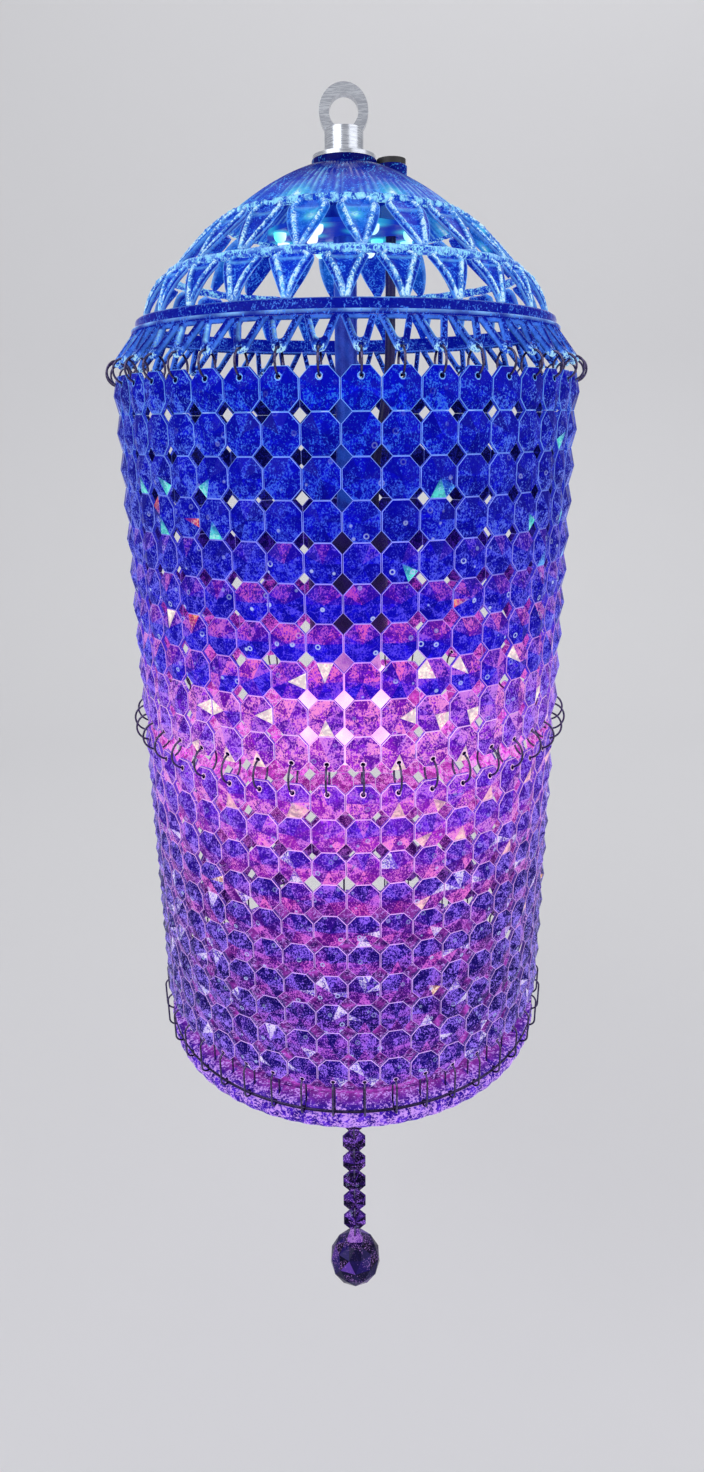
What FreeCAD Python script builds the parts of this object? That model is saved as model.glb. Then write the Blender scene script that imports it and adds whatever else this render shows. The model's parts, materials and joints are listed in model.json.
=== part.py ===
import FreeCAD, Part
import math
import os

Vec = FreeCAD.Vector

# Stone chandelier: a petal dome over two curtains of octagon crystal beads, with a ball drop.
# Millimetres, +Z up. The origin is the centre of the bore in the hanging eye.
# Pieces are drawn at the -Y side of the lamp and then turned about the Z axis.

# Bead curtain
strand_count = 44
rows_per_curtain = 10
bead_width = 13.9
bead_height = 14.84
bead_corner_share = 0.27
bead_edge_thickness = 1.6
bead_centre_thickness = 5.2
bead_side_gap = 0.15
bead_row_gap = 0.1
bead_hole_radius = 1.0
bead_hole_from_edge = 3.5
strand_turn = 2.9
curtain_gap = 6.0

# Thread that the beads of a strand are strung on
thread_radius = 0.15
thread_clearance = 0.05

# Wire rings and links
ring_wire_radius = 0.45
ring_seat_lift = 0.1
ring_touch_gap = 0.05
link_half_width = 4.0

# Hanging eye, washer, stem and lock nuts
eye_bore_radius = 6.0
eye_wall = 4.0
eye_width = 5.0
eye_boss_radius = 8.0
eye_boss_height = 5.5
washer_radius = 13.0
washer_thickness = 1.5
stem_radius = 4.95
stem_wall = 1.75
stem_clearance = 0.05
stem_hole_clearance = 0.1
stem_head_room = 0.5
nut_thickness = 5.0
nut_wall = 3.55

# Dome cap
cap_rise = 21.5
cap_wall = 2.6
cap_straight_share = 0.42
cap_curve_steps = 12
cap_hub_margin = 0.5

# Rings and tiers of the dome
cap_ring_wire = 1.7
cap_ring_radius = 50.6
upper_tier_drop = 20.6
upper_tier_spread = 23.9
middle_ring_wire = 1.8
lower_tier_drop = 19.0
flange_ring_wire = 1.9
petal_gap = 0.25

# Leaf petals
upper_petal_count = 20
upper_petal_turn = 4.9
upper_petal_bulge = 0.6
lower_petal_count = 26
lower_petal_bulge = 1.5
petal_thickness = 1.8
petal_rib_height = 1.5
petal_rib_place = 0.74
petal_rib_fade = 0.5
petal_edge_height = 0.3
petal_cup_share = 0.2
petal_keel_share = 0.6
petal_tip_width = 3.4
petal_taper_power = 0.85
petal_shoulder_share = 0.12
petal_shoulder_loss = 0.22
petal_top_offset = 0.85
petal_low_offset = 0.4
petal_low_lift = 0.5

# Crown of loops
crown_inset = 10.8
crown_drop = 14.8
crown_tip_over_bead = 4.2
crown_thickness = 2.6
crown_tip_radius = 2.6
crown_leg_width = 2.8
crown_rail_share = 0.35
crown_window_share = 0.45
crown_hole_radius = 1.0
crown_hole_share = 0.9
crown_side_gap = 0.1
crown_joint_gap = 0.1

# Small lamps in the dome
board_radius = 33.0
board_thickness = 1.6
board_drop = 26.5
board_hub_wall = 4.05
board_hub_height = 9.0
lens_radius = 2.6
lens_base_height = 1.0
outer_lens_count = 8
outer_lens_circle = 29.0
inner_lens_count = 4
inner_lens_circle = 15.0
first_lens_turn = 22.5

# Cable inlet, terminal block and inner lead
gland_washer_gap = 0.5
gland_bore_radius = 3.1
gland_wall = 1.5
gland_flange_radius = 6.0
gland_flange_thickness = 2.2
gland_boss_margin = 0.6
gland_length = 9.0
fit_clearance = 0.1
terminal_width = 9.0
terminal_length = 22.0
terminal_height = 8.0
lead_radius = 2.2
lead_hole_clearance = 1.0
lead_nut_gap = 0.5
lead_seat_gap = 0.3
lead_high_bend = 60.0
lead_low_bend = 24.0

# Bulb and lampholder
bulb_centre_drop = 256.0
bulb_radius = 28.0
bulb_wall = 1.5
bulb_neck_radius = 16.0
bulb_neck_rise = 42.0
bulb_cap_radius = 13.1
bulb_cap_length = 27.0
bulb_contact_radius = 4.5
bulb_contact_height = 0.5
bulb_cone_height = 2.0
bulb_cone_step = 2.0
insert_wall = 2.7
insert_inset = 1.5
insert_end_gap = 1.0
holder_wall = 3.0
holder_length = 52.0
holder_mouth_gap = 0.3
stem_in_holder = 12.0

# Bottom hoop and dish
hoop_wire_radius = 1.0
hoop_below_hole = 17.8
hoop_clearance = 0.1
dish_lip_thickness = 2.0
dish_lip_overhang = 0.6
dish_link_clearance = 0.8
dish_link_drop = 0.4
dish_apron_radius = 100.6
dish_apron_height = 9.8
dish_apron_tuck = 3.4
dish_apron_lean = 0.4
dish_wall = 2.6
dish_depth = 18.5
dish_bowl_steps = 10
dish_ridge_count = 5
dish_ridge_height = 1.0
dish_pad_radius = 6.5
dish_slot_width = 2.0
dish_slot_extra = 4.0

# Drop
drop_beads_per_length = 3
drop_bead_gap = 1.06
drop_eye_wire = 0.8
drop_eye_radius = 3.0
drop_eye_stalk = 1.5
drop_collar_radius = 3.2
drop_collar_overlap = 0.4
drop_shank_radius = 1.5
drop_shank_above = 6.0
drop_washer_radius = 5.0
drop_washer_thickness = 1.0
drop_nut_across_flats = 6.0
drop_nut_thickness = 2.6
drop_top_ring_radius = 4.9

# Crystal ball with its lug
ball_radius = 16.4
ball_facet_rows = 5
ball_facets_round = 10
ball_flat_angle = 66.0
lug_height = 8.0
lug_hole_radius = 1.1
lug_hole_from_top = 2.6
lug_low_half_width = 4.9
lug_low_half_depth = 2.4
lug_top_half_width = 2.8
lug_top_half_depth = 1.2
lug_corner_share = 0.3

# How far a cutting tool reaches past the face that it cuts
cut_past = 5.0


def turned(shape, degrees):
    """A copy of the shape, turned about the Z axis."""
    copy = shape.copy()
    copy.rotate(Vec(0, 0, 0), Vec(0, 0, 1), degrees)
    return copy


def round_the_axis(shape, count, first=0.0):
    """Copies of the shape, evenly spaced about the Z axis."""
    return [turned(shape, first + 360.0 / count * i) for i in range(count)]


def moved(shape, x=0.0, y=0.0, z=0.0):
    """A copy of the shape, moved by x, y and z."""
    copy = shape.copy()
    copy.translate(Vec(x, y, z))
    return copy


def write(name, shapes):
    """Writes one node. Each shape in the list is a separate solid."""
    Part.makeCompound(shapes).exportStep("parts/" + name + ".step")
    print(name, len(shapes), "solids", all(s.isValid() for s in shapes))


def rod(radius, bottom, top, x=0.0, y=0.0):
    """An upright cylinder from bottom to top."""
    return Part.makeCylinder(radius, top - bottom, Vec(x, y, bottom))


def cross_rod(radius, half_length, y, z):
    """A cylinder along Y about the point (0, y, z)."""
    return Part.makeCylinder(radius, 2 * half_length, Vec(0, y - half_length, z), Vec(0, 1, 0))


def turned_profile(points):
    """A solid of revolution about the Z axis, from (radius, height) points."""
    corners = [Vec(r, 0, z) for r, z in points]
    face = Part.Face(Part.makePolygon(corners + corners[:1]))
    return face.revolve(Vec(0, 0, 0), Vec(0, 0, 1), 360)


def flat_face(corners):
    """A flat face through the corners."""
    return Part.Face(Part.makePolygon(corners + corners[:1]))


def solid_of(faces):
    """A closed solid from its faces, with its faces outwards."""
    solid = Part.Solid(Part.Shell(faces))
    return solid if solid.Volume > 0 else solid.reversed()


def cut_corners(half_width, half_height, corner_x, corner_z):
    """Corners of an upright rectangle about the origin whose own corners are cut off."""
    a = half_width
    b = half_height
    right = [(a, -b + corner_z), (a, b - corner_z), (a - corner_x, b)]
    left = [(-a + corner_x, b), (-a, b - corner_z), (-a, -b + corner_z)]
    return right + left + [(-a + corner_x, -b), (a - corner_x, -b)]


def bead_hole(height):
    """The cross hole of a bead, at a height from its centre."""
    return cross_rod(bead_hole_radius, bead_centre_thickness, 0, height)


def octagon_bead(top_hole=False, bottom_hole=False, threaded=True):
    """A cut bead about the origin, flat across Y: eight facets each side meet at its centre."""
    half_edge = bead_edge_thickness / 2
    half_centre = bead_centre_thickness / 2
    corner_x = bead_width * bead_corner_share
    corner_z = bead_height * bead_corner_share
    outline = cut_corners(bead_width / 2, bead_height / 2, corner_x, corner_z)
    front = [Vec(x, -half_edge, z) for x, z in outline]
    back = [Vec(x, half_edge, z) for x, z in outline]
    faces = []
    for i in range(len(outline)):
        j = (i + 1) % len(outline)
        faces.append(flat_face([Vec(0, -half_centre, 0), front[i], front[j]]))
        faces.append(flat_face([Vec(0, half_centre, 0), back[j], back[i]]))
        faces.append(flat_face([front[i], back[i], back[j], front[j]]))
    bead = solid_of(faces)
    hole_height = bead_height / 2 - bead_hole_from_edge
    thread_bottom = -bead_height
    thread_top = bead_height
    if top_hole:
        bead = bead.cut(bead_hole(hole_height))
        thread_top = hole_height
    if bottom_hole:
        bead = bead.cut(bead_hole(-hole_height))
        thread_bottom = -hole_height
    if threaded:
        bead = bead.cut(rod(thread_radius + thread_clearance, thread_bottom, thread_top))
    return bead.Solids[0]


def ring(major, wire, centre, axis):
    """A closed wire ring."""
    return Part.makeTorus(major, wire, centre, axis)


def long_link(wire, half_width, top, bottom, y):
    """A wire link with round ends and straight sides, in the plane across X."""
    upper = top - half_width
    lower = bottom + half_width
    sides = []
    sides.append(Part.LineSegment(Vec(0, y - half_width, lower), Vec(0, y - half_width, upper)))
    sides.append(Part.Arc(Vec(0, y - half_width, upper), Vec(0, y, top), Vec(0, y + half_width, upper)))
    sides.append(Part.LineSegment(Vec(0, y + half_width, upper), Vec(0, y + half_width, lower)))
    sides.append(Part.Arc(Vec(0, y + half_width, lower), Vec(0, y, bottom), Vec(0, y - half_width, lower)))
    path = Part.Wire([s.toShape() for s in sides])
    section = Part.Wire(Part.makeCircle(wire, Vec(0, y - half_width, lower), Vec(0, 0, 1)))
    return path.makePipeShell([section], True, True).Solids[0]


# Heights and radii that follow from the sizes above
eye_outer_radius = eye_bore_radius + eye_wall
washer_top = -eye_outer_radius - eye_boss_height
cap_top = washer_top - washer_thickness
half_angle = math.radians(180.0 / strand_count)
strand_radius = (bead_width + bead_side_gap) / 2 / math.tan(half_angle) + bead_edge_thickness / 2
bead_pitch = bead_height + bead_row_gap

cap_ring_height = cap_top - cap_rise - cap_ring_wire - petal_gap
middle_ring_radius = cap_ring_radius + upper_tier_spread
middle_ring_height = cap_ring_height - upper_tier_drop
flange_radius = strand_radius - crown_inset
flange_height = middle_ring_height - lower_tier_drop
flange_lip_bottom = flange_height - 1.9 * flange_ring_wire
crown_top = flange_lip_bottom - crown_joint_gap
crown_top_radius = flange_radius + flange_ring_wire
bead_top = crown_top - crown_drop - crown_tip_over_bead + crown_tip_radius
curtain_height = rows_per_curtain * bead_pitch - bead_row_gap
lower_top = bead_top - curtain_height - curtain_gap
lower_bottom = lower_top - curtain_height
print("strand radius", round(strand_radius, 2), "first bead top", round(bead_top, 2))


def curtain_row(top, row):
    """Height of the bead centre in a row, counted from 0 under the curtain's top."""
    return top - bead_height / 2 - row * bead_pitch


def strand_beads(bead, top, rows):
    """The given rows of every strand, as separate solids."""
    column = [moved(bead, 0, -strand_radius, curtain_row(top, row)) for row in rows]
    beads = []
    for shape in column:
        beads.extend(round_the_axis(shape, strand_count, strand_turn))
    return beads


def make_curtains():
    """Beads and threads of both curtains."""
    first = [0]
    middle = list(range(1, rows_per_curtain - 1))
    last = [rows_per_curtain - 1]
    top_bead = octagon_bead(top_hole=True)
    plain_bead = octagon_bead()
    end_bead = octagon_bead(bottom_hole=True)
    reach = bead_hole_from_edge + bead_hole_radius
    for name, top in (("upper", bead_top), ("lower", lower_top)):
        write(name + "_curtain_first_beads", strand_beads(top_bead, top, first))
        write(name + "_curtain_beads", strand_beads(plain_bead, top, middle))
        write(name + "_curtain_last_beads", strand_beads(end_bead, top, last))
        thread = rod(thread_radius, top - curtain_height + reach, top - reach, 0, -strand_radius)
        write(name + "_threads", round_the_axis(thread, strand_count, strand_turn))


# Rings between the crown and the curtain, and between the two curtains
crown_tip_height = bead_top + crown_tip_over_bead
crown_reach = strand_radius + 1.0 - crown_top_radius
crown_slope = math.atan2(crown_top - crown_tip_height, crown_reach)
crown_length = (crown_top - crown_tip_height) / math.sin(crown_slope)
crown_hole_height = crown_tip_height + crown_tip_radius * math.sin(crown_slope) * crown_hole_share
crown_ring_bottom = bead_top - bead_hole_from_edge + ring_seat_lift
crown_ring_major = (crown_hole_height - crown_ring_bottom) / 2
joint_ring_bottom = lower_top - bead_hole_from_edge + ring_seat_lift
joint_ring_top = bead_top - curtain_height + bead_hole_from_edge - ring_seat_lift
joint_ring_major = (joint_ring_top - joint_ring_bottom) / 2


def make_curtain_rings():
    """One wire ring over each strand, and one between its two curtains."""
    centre = Vec(0, -strand_radius, crown_ring_bottom + crown_ring_major)
    upper = ring(crown_ring_major, ring_wire_radius, centre, Vec(1, 0, 0))
    write("crown_rings", round_the_axis(upper, strand_count, strand_turn))
    centre = Vec(0, -strand_radius, joint_ring_bottom + joint_ring_major)
    joint = ring(joint_ring_major, ring_wire_radius, centre, Vec(1, 0, 0))
    write("curtain_joint_rings", round_the_axis(joint, strand_count, strand_turn))


# The cap's curve runs from its stem hole to its rim
cap_start_radius = stem_radius + stem_hole_clearance
cap_rim_radius = cap_ring_radius - cap_ring_wire
washer_seat_radius = washer_radius + cap_hub_margin


def cap_height(radius):
    """Height of the cap's outer face at a radius: part straight slope, part square of the radius."""
    share = (radius - cap_start_radius) / (cap_rim_radius - cap_start_radius)
    fall = cap_straight_share * share + (1 - cap_straight_share) * share * share
    return cap_top - cap_rise * fall


# Flat faces on the cap: under the lock nut, and over and under the cable gland's boss
cap_nut_top = cap_height(washer_seat_radius) - cap_wall
gland_radius = gland_bore_radius + gland_wall
gland_offset = washer_radius + gland_flange_radius + gland_washer_gap
gland_boss_radius = gland_flange_radius + gland_boss_margin
gland_boss_top = cap_height(gland_offset - gland_boss_radius) + fit_clearance
gland_boss_bottom = cap_height(gland_offset) - cap_wall


def make_cap():
    """The dome cap: a thin shell with a flat hub for the washer and a flat boss for the cable gland."""
    width = cap_rim_radius - cap_start_radius
    radii = [cap_start_radius + width * i / cap_curve_steps for i in range(cap_curve_steps + 1)]
    outer = [(r, cap_height(r)) for r in radii]
    inner = [(r, cap_height(r) - cap_wall) for r in reversed(radii)]
    shell = turned_profile(outer + inner)
    boss = rod(gland_boss_radius, gland_boss_bottom, gland_boss_top, gland_offset)
    hub = rod(washer_seat_radius, cap_nut_top, cap_top)
    shell = shell.fuse(boss).fuse(hub)
    gland_hole = rod(gland_radius + fit_clearance, gland_boss_bottom - cut_past,
                     gland_boss_top + cut_past, gland_offset)
    stem_hole = rod(cap_start_radius, cap_nut_top - cut_past, cap_top + cut_past)
    shell = shell.cut(gland_hole).cut(stem_hole)
    write("dome_cap", [shell.Solids[0]])


# Bulb and lampholder heights
bulb_z = -bulb_centre_drop
bulb_neck_top = bulb_z + bulb_neck_rise
bulb_cap_top = bulb_neck_top + bulb_cap_length
insert_radius = bulb_cap_radius + fit_clearance + insert_wall
holder_radius = insert_radius + fit_clearance + holder_wall
holder_mouth = bulb_neck_top + holder_mouth_gap
holder_top = holder_mouth + holder_length
stem_top = -eye_outer_radius - stem_head_room
stem_bottom = holder_top - stem_in_holder
nut_half_flats = stem_radius + nut_wall
nut_corner_radius = nut_half_flats / math.cos(math.radians(30))
lead_low_offset = nut_corner_radius + lead_radius + lead_nut_gap


def hexagon_nut(half_flats, thickness, bore, bottom):
    """A six-sided nut round the Z axis, over the given height."""
    corner = half_flats / math.cos(math.radians(30))
    angles = [math.radians(60 * i) for i in range(6)]
    face = flat_face([Vec(corner * math.cos(a), corner * math.sin(a), bottom) for a in angles])
    nut = face.extrude(Vec(0, 0, thickness))
    return nut.cut(rod(bore, bottom - cut_past, bottom + thickness + cut_past))


def make_hanging():
    """The eye, washer, stem and lock nuts that carry the lamp."""
    lug = cross_rod(eye_outer_radius, eye_width / 2, 0, 0)
    boss = rod(eye_boss_radius, washer_top, -eye_bore_radius)
    eye = lug.fuse(boss).cut(cross_rod(eye_bore_radius, eye_outer_radius + cut_past, 0, 0))
    eye = eye.cut(rod(stem_radius + stem_clearance, washer_top - cut_past, stem_top + stem_clearance))
    write("hanging_eye", [eye.Solids[0]])
    washer = rod(washer_radius, cap_top, washer_top)
    washer = washer.cut(rod(cap_start_radius, cap_top - cut_past, washer_top + cut_past))
    write("cap_washer", [washer])
    stem = rod(stem_radius, stem_bottom, stem_top)
    stem = stem.cut(rod(stem_radius - stem_wall, stem_bottom - cut_past, stem_top + cut_past))
    write("stem_tube", [stem])
    bore = stem_radius + stem_clearance
    write("cap_nut", [hexagon_nut(nut_half_flats, nut_thickness, bore, cap_nut_top - nut_thickness)])
    write("holder_nut", [hexagon_nut(nut_half_flats, nut_thickness, bore, holder_top)])


def petal(top_radius, top_height, low_radius, low_height, top_width, bulge):
    """A cupped leaf between two rings: full and round above, pointed below, with a raised rib each side."""
    run = low_radius - top_radius
    drop = top_height - low_height
    length = math.hypot(run, drop)
    outward = (drop / length, run / length)
    back = -petal_thickness / 2
    sections = []
    for share in (0.0, petal_shoulder_share, 0.4, 0.7, 1.0):
        taper = (1 - share) ** petal_taper_power
        shoulder_left = max(0.0, petal_shoulder_share - share) / petal_shoulder_share
        shoulder = 1 - petal_shoulder_loss * shoulder_left
        half = (petal_tip_width + (top_width - petal_tip_width) * taper) / 2 * shoulder
        lift = bulge * 4 * share * (1 - share)
        rib = petal_rib_height * (1 - petal_rib_fade * share)
        rib_x = petal_rib_place * half
        edge = petal_edge_height
        shape = [(-half, edge), (-rib_x, rib), (0, petal_cup_share * rib), (rib_x, rib), (half, edge)]
        shape = shape + [(half, back), (0, back - petal_keel_share * rib), (-half, back)]
        corners = []
        for across, out in shape:
            r = top_radius + run * share + outward[0] * (out + lift)
            z = top_height - drop * share + outward[1] * (out + lift)
            corners.append(Vec(across, -r, z))
        sections.append(Part.makePolygon(corners + corners[:1]))
    return Part.makeLoft(sections, True, False)


def tier_petal(upper_ring, lower_ring, count, bulge):
    """The leaf of a tier. Each ring is given as its radius, height and wire radius."""
    spread = lower_ring[0] - upper_ring[0]
    drop = upper_ring[1] - lower_ring[1]
    length = math.hypot(spread, drop)
    top_share = (upper_ring[2] + petal_gap) / length
    low_share = (lower_ring[2] + petal_gap) / length
    top_radius = upper_ring[0] + spread * top_share + petal_top_offset
    top_height = upper_ring[1] - drop * top_share
    low_radius = lower_ring[0] - spread * low_share - petal_low_offset
    low_height = lower_ring[1] + drop * low_share + petal_low_lift
    width = 2 * math.pi * (top_radius + petal_edge_height) / count - petal_gap
    return petal(top_radius, top_height, low_radius, low_height, width, bulge)


def make_petals():
    """Both tiers of leaf petals."""
    cap = (cap_ring_radius, cap_ring_height, cap_ring_wire)
    middle = (middle_ring_radius, middle_ring_height, middle_ring_wire)
    flange = (flange_radius, flange_height, flange_ring_wire)
    leaf = tier_petal(cap, middle, upper_petal_count, upper_petal_bulge)
    write("upper_petals", round_the_axis(leaf, upper_petal_count, upper_petal_turn))
    leaf = tier_petal(middle, flange, lower_petal_count, lower_petal_bulge)
    write("lower_petals", round_the_axis(leaf, lower_petal_count))


def make_dome_rings():
    """The three rings of the dome. The flange ring has a lip that the crown hangs under."""
    axis = Vec(0, 0, 1)
    write("cap_ring", [ring(cap_ring_radius, cap_ring_wire, Vec(0, 0, cap_ring_height), axis)])
    write("middle_ring", [ring(middle_ring_radius, middle_ring_wire, Vec(0, 0, middle_ring_height), axis)])
    w = flange_ring_wire
    r = flange_radius
    z = flange_height
    profile = [(r - w, z + 0.6 * w), (r - 0.5 * w, z + w), (r + 0.5 * w, z + w), (r + w, z + 0.3 * w)]
    profile = profile + [(r + w, z - 0.7 * w), (r + 2 * w, z - 1.1 * w), (r + 2 * w, flange_lip_bottom)]
    profile = profile + [(r + 0.4 * w, flange_lip_bottom), (r - w, z - w)]
    write("flange_ring", [turned_profile(profile)])


def v_face(top_half, low_half, low, tip_low, lid):
    """A flat V with a round tip: its sides run from the lid down to the two ends of the tip's arc."""
    sides = [Part.LineSegment(Vec(top_half, 0, 0), Vec(low_half, low, 0))]
    sides.append(Part.Arc(Vec(low_half, low, 0), Vec(0, tip_low, 0), Vec(-low_half, low, 0)))
    sides.append(Part.LineSegment(Vec(-low_half, low, 0), Vec(-top_half, 0, 0)))
    if lid > 0:
        sides.append(Part.LineSegment(Vec(-top_half, 0, 0), Vec(-top_half, lid, 0)))
        sides.append(Part.LineSegment(Vec(-top_half, lid, 0), Vec(top_half, lid, 0)))
        sides.append(Part.LineSegment(Vec(top_half, lid, 0), Vec(top_half, 0, 0)))
    else:
        sides.append(Part.LineSegment(Vec(-top_half, 0, 0), Vec(top_half, 0, 0)))
    return Part.Face(Part.Wire([s.toShape() for s in sides]))


def crown_loop():
    """One V of the crown: two legs from the flange lip to a rounded tip with a cross hole."""
    top_half = math.pi * crown_top_radius / strand_count - crown_side_gap
    tip_centre = -crown_length + crown_tip_radius
    swing = math.asin((top_half - crown_tip_radius) / math.hypot(crown_length, top_half))
    low_half = crown_tip_radius * math.cos(swing)
    low = tip_centre - crown_tip_radius * math.sin(swing)
    outer = v_face(top_half, low_half, low, -crown_length, crown_thickness)
    rail = crown_leg_width * crown_rail_share
    window_half = crown_tip_radius * crown_window_share
    window_low = tip_centre + crown_tip_radius + rail
    window = v_face(top_half - crown_leg_width, window_half, window_low, window_low - window_half, 0.0)
    window = moved(window, 0, -rail)
    plate = outer.cut(window).extrude(Vec(0, 0, crown_thickness))
    plate.translate(Vec(0, 0, -crown_thickness / 2))
    plate.rotate(Vec(0, 0, 0), Vec(1, 0, 0), math.degrees(crown_slope))
    plate.translate(Vec(0, -crown_top_radius, crown_top))
    plate = plate.cut(cross_rod(crown_hole_radius, crown_reach, -strand_radius, crown_hole_height))
    plate = plate.cut(rod(2 * strand_radius, crown_top, crown_top + crown_thickness + cut_past))
    return plate.Solids[0]


def make_crown():
    """The crown of loops, one for each strand."""
    write("crown_loops", round_the_axis(crown_loop(), strand_count, strand_turn))


# The board of small lamps, and the terminal block that stands on it under the gland
board_top = cap_top - board_drop
board_bottom = board_top - board_thickness


def make_small_lamps():
    """The board on the stem with its clamp hub, and a lens over each small lamp."""
    board = rod(board_radius, board_bottom, board_top)
    stem_bore = stem_radius + stem_clearance
    lead_hole = lead_radius + lead_hole_clearance
    board = board.cut(rod(stem_bore, board_bottom - cut_past, board_top + cut_past))
    board = board.cut(rod(lead_hole, board_bottom - cut_past, board_top + cut_past, gland_offset))
    write("led_board", [board])
    hub_top = board_top + board_hub_height
    hub = rod(stem_radius + board_hub_wall, board_top, hub_top)
    write("led_board_hub", [hub.cut(rod(stem_bore, board_top - cut_past, hub_top + cut_past))])
    dome = Part.makeSphere(lens_radius, Vec(0, 0, -lens_base_height), Vec(0, 0, 1), -90, 0)
    lens = dome.fuse(rod(lens_radius, -lens_base_height, 0.0)).removeSplitter()
    outer = moved(lens, 0, -outer_lens_circle, board_bottom)
    inner = moved(lens, 0, -inner_lens_circle, board_bottom)
    lenses = round_the_axis(outer, outer_lens_count, first_lens_turn)
    lenses = lenses + round_the_axis(inner, inner_lens_count, first_lens_turn)
    write("led_lenses", [s.Solids[0] for s in lenses])


def make_wiring():
    """The cable gland in the cap, the terminal block on the board and the inner lead."""
    gland_top = gland_boss_top + gland_flange_thickness
    gland_bottom = gland_boss_top - gland_length
    gland = rod(gland_radius, gland_bottom, gland_boss_top, gland_offset)
    gland = gland.fuse(rod(gland_flange_radius, gland_boss_top, gland_top, gland_offset))
    gland = gland.cut(rod(gland_bore_radius, gland_bottom - cut_past, gland_top + cut_past, gland_offset))
    write("inlet_gland", [gland.Solids[0]])
    block = Part.makeBox(terminal_width, terminal_length, terminal_height)
    block = moved(block, gland_offset - terminal_width / 2, -terminal_length / 2, board_top)
    write("terminal_block", [block])
    # the lead leaves the block through the board's hole and bends in beside the holder's lock nut
    low_x = lead_low_offset
    end_z = holder_top + lead_seat_gap
    points = [Vec(gland_offset, 0, board_top), Vec(gland_offset, 0, end_z + lead_high_bend)]
    points = points + [Vec(low_x, 0, end_z + lead_low_bend), Vec(low_x, 0, end_z)]
    path = rounded_path(points)
    section = Part.Wire(Part.makeCircle(lead_radius, points[0], Vec(0, 0, 1)))
    lead = path.makePipeShell([section], True, True).Solids[0]
    print("lead length", round(path.Length, 1), "volume share",
          round(lead.Volume / (math.pi * lead_radius ** 2 * path.Length), 4))
    write("inner_lead", [lead])


def rounded_path(points):
    """Straight runs joined by arcs as large as the runs allow."""
    edges = []
    last = points[0]
    for before, here, after in zip(points, points[1:], points[2:]):
        back = (before - here).normalize()
        ahead = (after - here).normalize()
        turn = math.pi - back.getAngle(ahead)
        reach = 0.45 * min((before - here).Length, (after - here).Length)
        radius = reach / math.tan(turn / 2)
        print("lead bend radius", round(radius, 1))
        start = here + back * reach
        end = here + ahead * reach
        middle = (back + ahead).normalize()
        centre = here + middle * (radius / math.cos(turn / 2))
        edges.append(Part.LineSegment(last, start).toShape())
        edges.append(Part.Arc(start, centre - middle * radius, end).toShape())
        last = end
    edges.append(Part.LineSegment(last, points[-1]).toShape())
    return Part.Wire(edges)


def make_holder():
    """Lampholder shell and contact insert."""
    floor = holder_top - holder_wall
    shell = rod(holder_radius, holder_mouth, holder_top)
    shell = shell.cut(rod(holder_radius - holder_wall, holder_mouth - cut_past, floor))
    shell = shell.cut(rod(stem_radius + stem_clearance, floor - cut_past, holder_top + cut_past))
    lead_hole = lead_radius + fit_clearance
    shell = shell.cut(rod(lead_hole, floor - cut_past, holder_top + cut_past, lead_low_offset))
    write("lampholder_shell", [shell])
    insert_bottom = holder_mouth + insert_inset
    insert = rod(insert_radius, insert_bottom, stem_bottom - insert_end_gap)
    well = bulb_cap_radius + fit_clearance
    insert = insert.cut(rod(well, insert_bottom - cut_past, bulb_cap_top + insert_end_gap))
    write("lampholder_insert", [insert])


def make_bulb():
    """The bulb: screw cap, neck and hollow globe. The globe is cut flat where the neck closes it."""
    cone_top = bulb_cap_top - bulb_contact_height
    cone_bottom = cone_top - bulb_cone_height
    cone_radius = bulb_cap_radius - bulb_cone_step
    cap = rod(bulb_cap_radius, bulb_neck_top, cone_bottom)
    cap = cap.fuse(Part.makeCone(cone_radius, bulb_contact_radius, bulb_cone_height, Vec(0, 0, cone_bottom)))
    cap = cap.fuse(rod(bulb_contact_radius, cone_top, bulb_cap_top))
    write("bulb_cap", [cap.removeSplitter().Solids[0]])
    seat = bulb_z + math.sqrt(bulb_radius ** 2 - bulb_neck_radius ** 2)
    centre = Vec(0, 0, bulb_z)
    globe = Part.makeSphere(bulb_radius, centre).cut(Part.makeSphere(bulb_radius - bulb_wall, centre))
    globe = globe.cut(rod(bulb_radius, seat, bulb_z + 2 * bulb_radius))
    write("bulb_globe", [globe.Solids[0]])
    collar = bulb_cap_radius - fit_clearance
    profile = [(0, seat), (bulb_neck_radius, seat), (collar, bulb_neck_top), (0, bulb_neck_top)]
    write("bulb_neck", [turned_profile(profile)])


# Heights and radii of the hoop, its links and the dish
hoop_z = lower_bottom + bead_hole_from_edge - hoop_below_hole
link_top = lower_bottom + bead_hole_from_edge - ring_seat_lift
link_bottom = hoop_z - hoop_wire_radius - ring_wire_radius - ring_touch_gap
lip_bottom = hoop_z + hoop_wire_radius + hoop_clearance
lip_top = lip_bottom + dish_lip_thickness
neck_radius = strand_radius - link_half_width - ring_wire_radius - dish_link_clearance
apron_top = link_bottom - ring_wire_radius - dish_link_drop
apron_bottom = apron_top - dish_apron_height
apron_low_radius = dish_apron_radius - dish_apron_tuck
dish_floor = apron_bottom - dish_depth
dish_inside = dish_floor + dish_wall


def bowl_height(radius):
    """Height of the bowl's outer face, which falls with the square of the radius to its floor."""
    return apron_bottom - dish_depth * (1 - (radius / apron_low_radius) ** 2)


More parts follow.
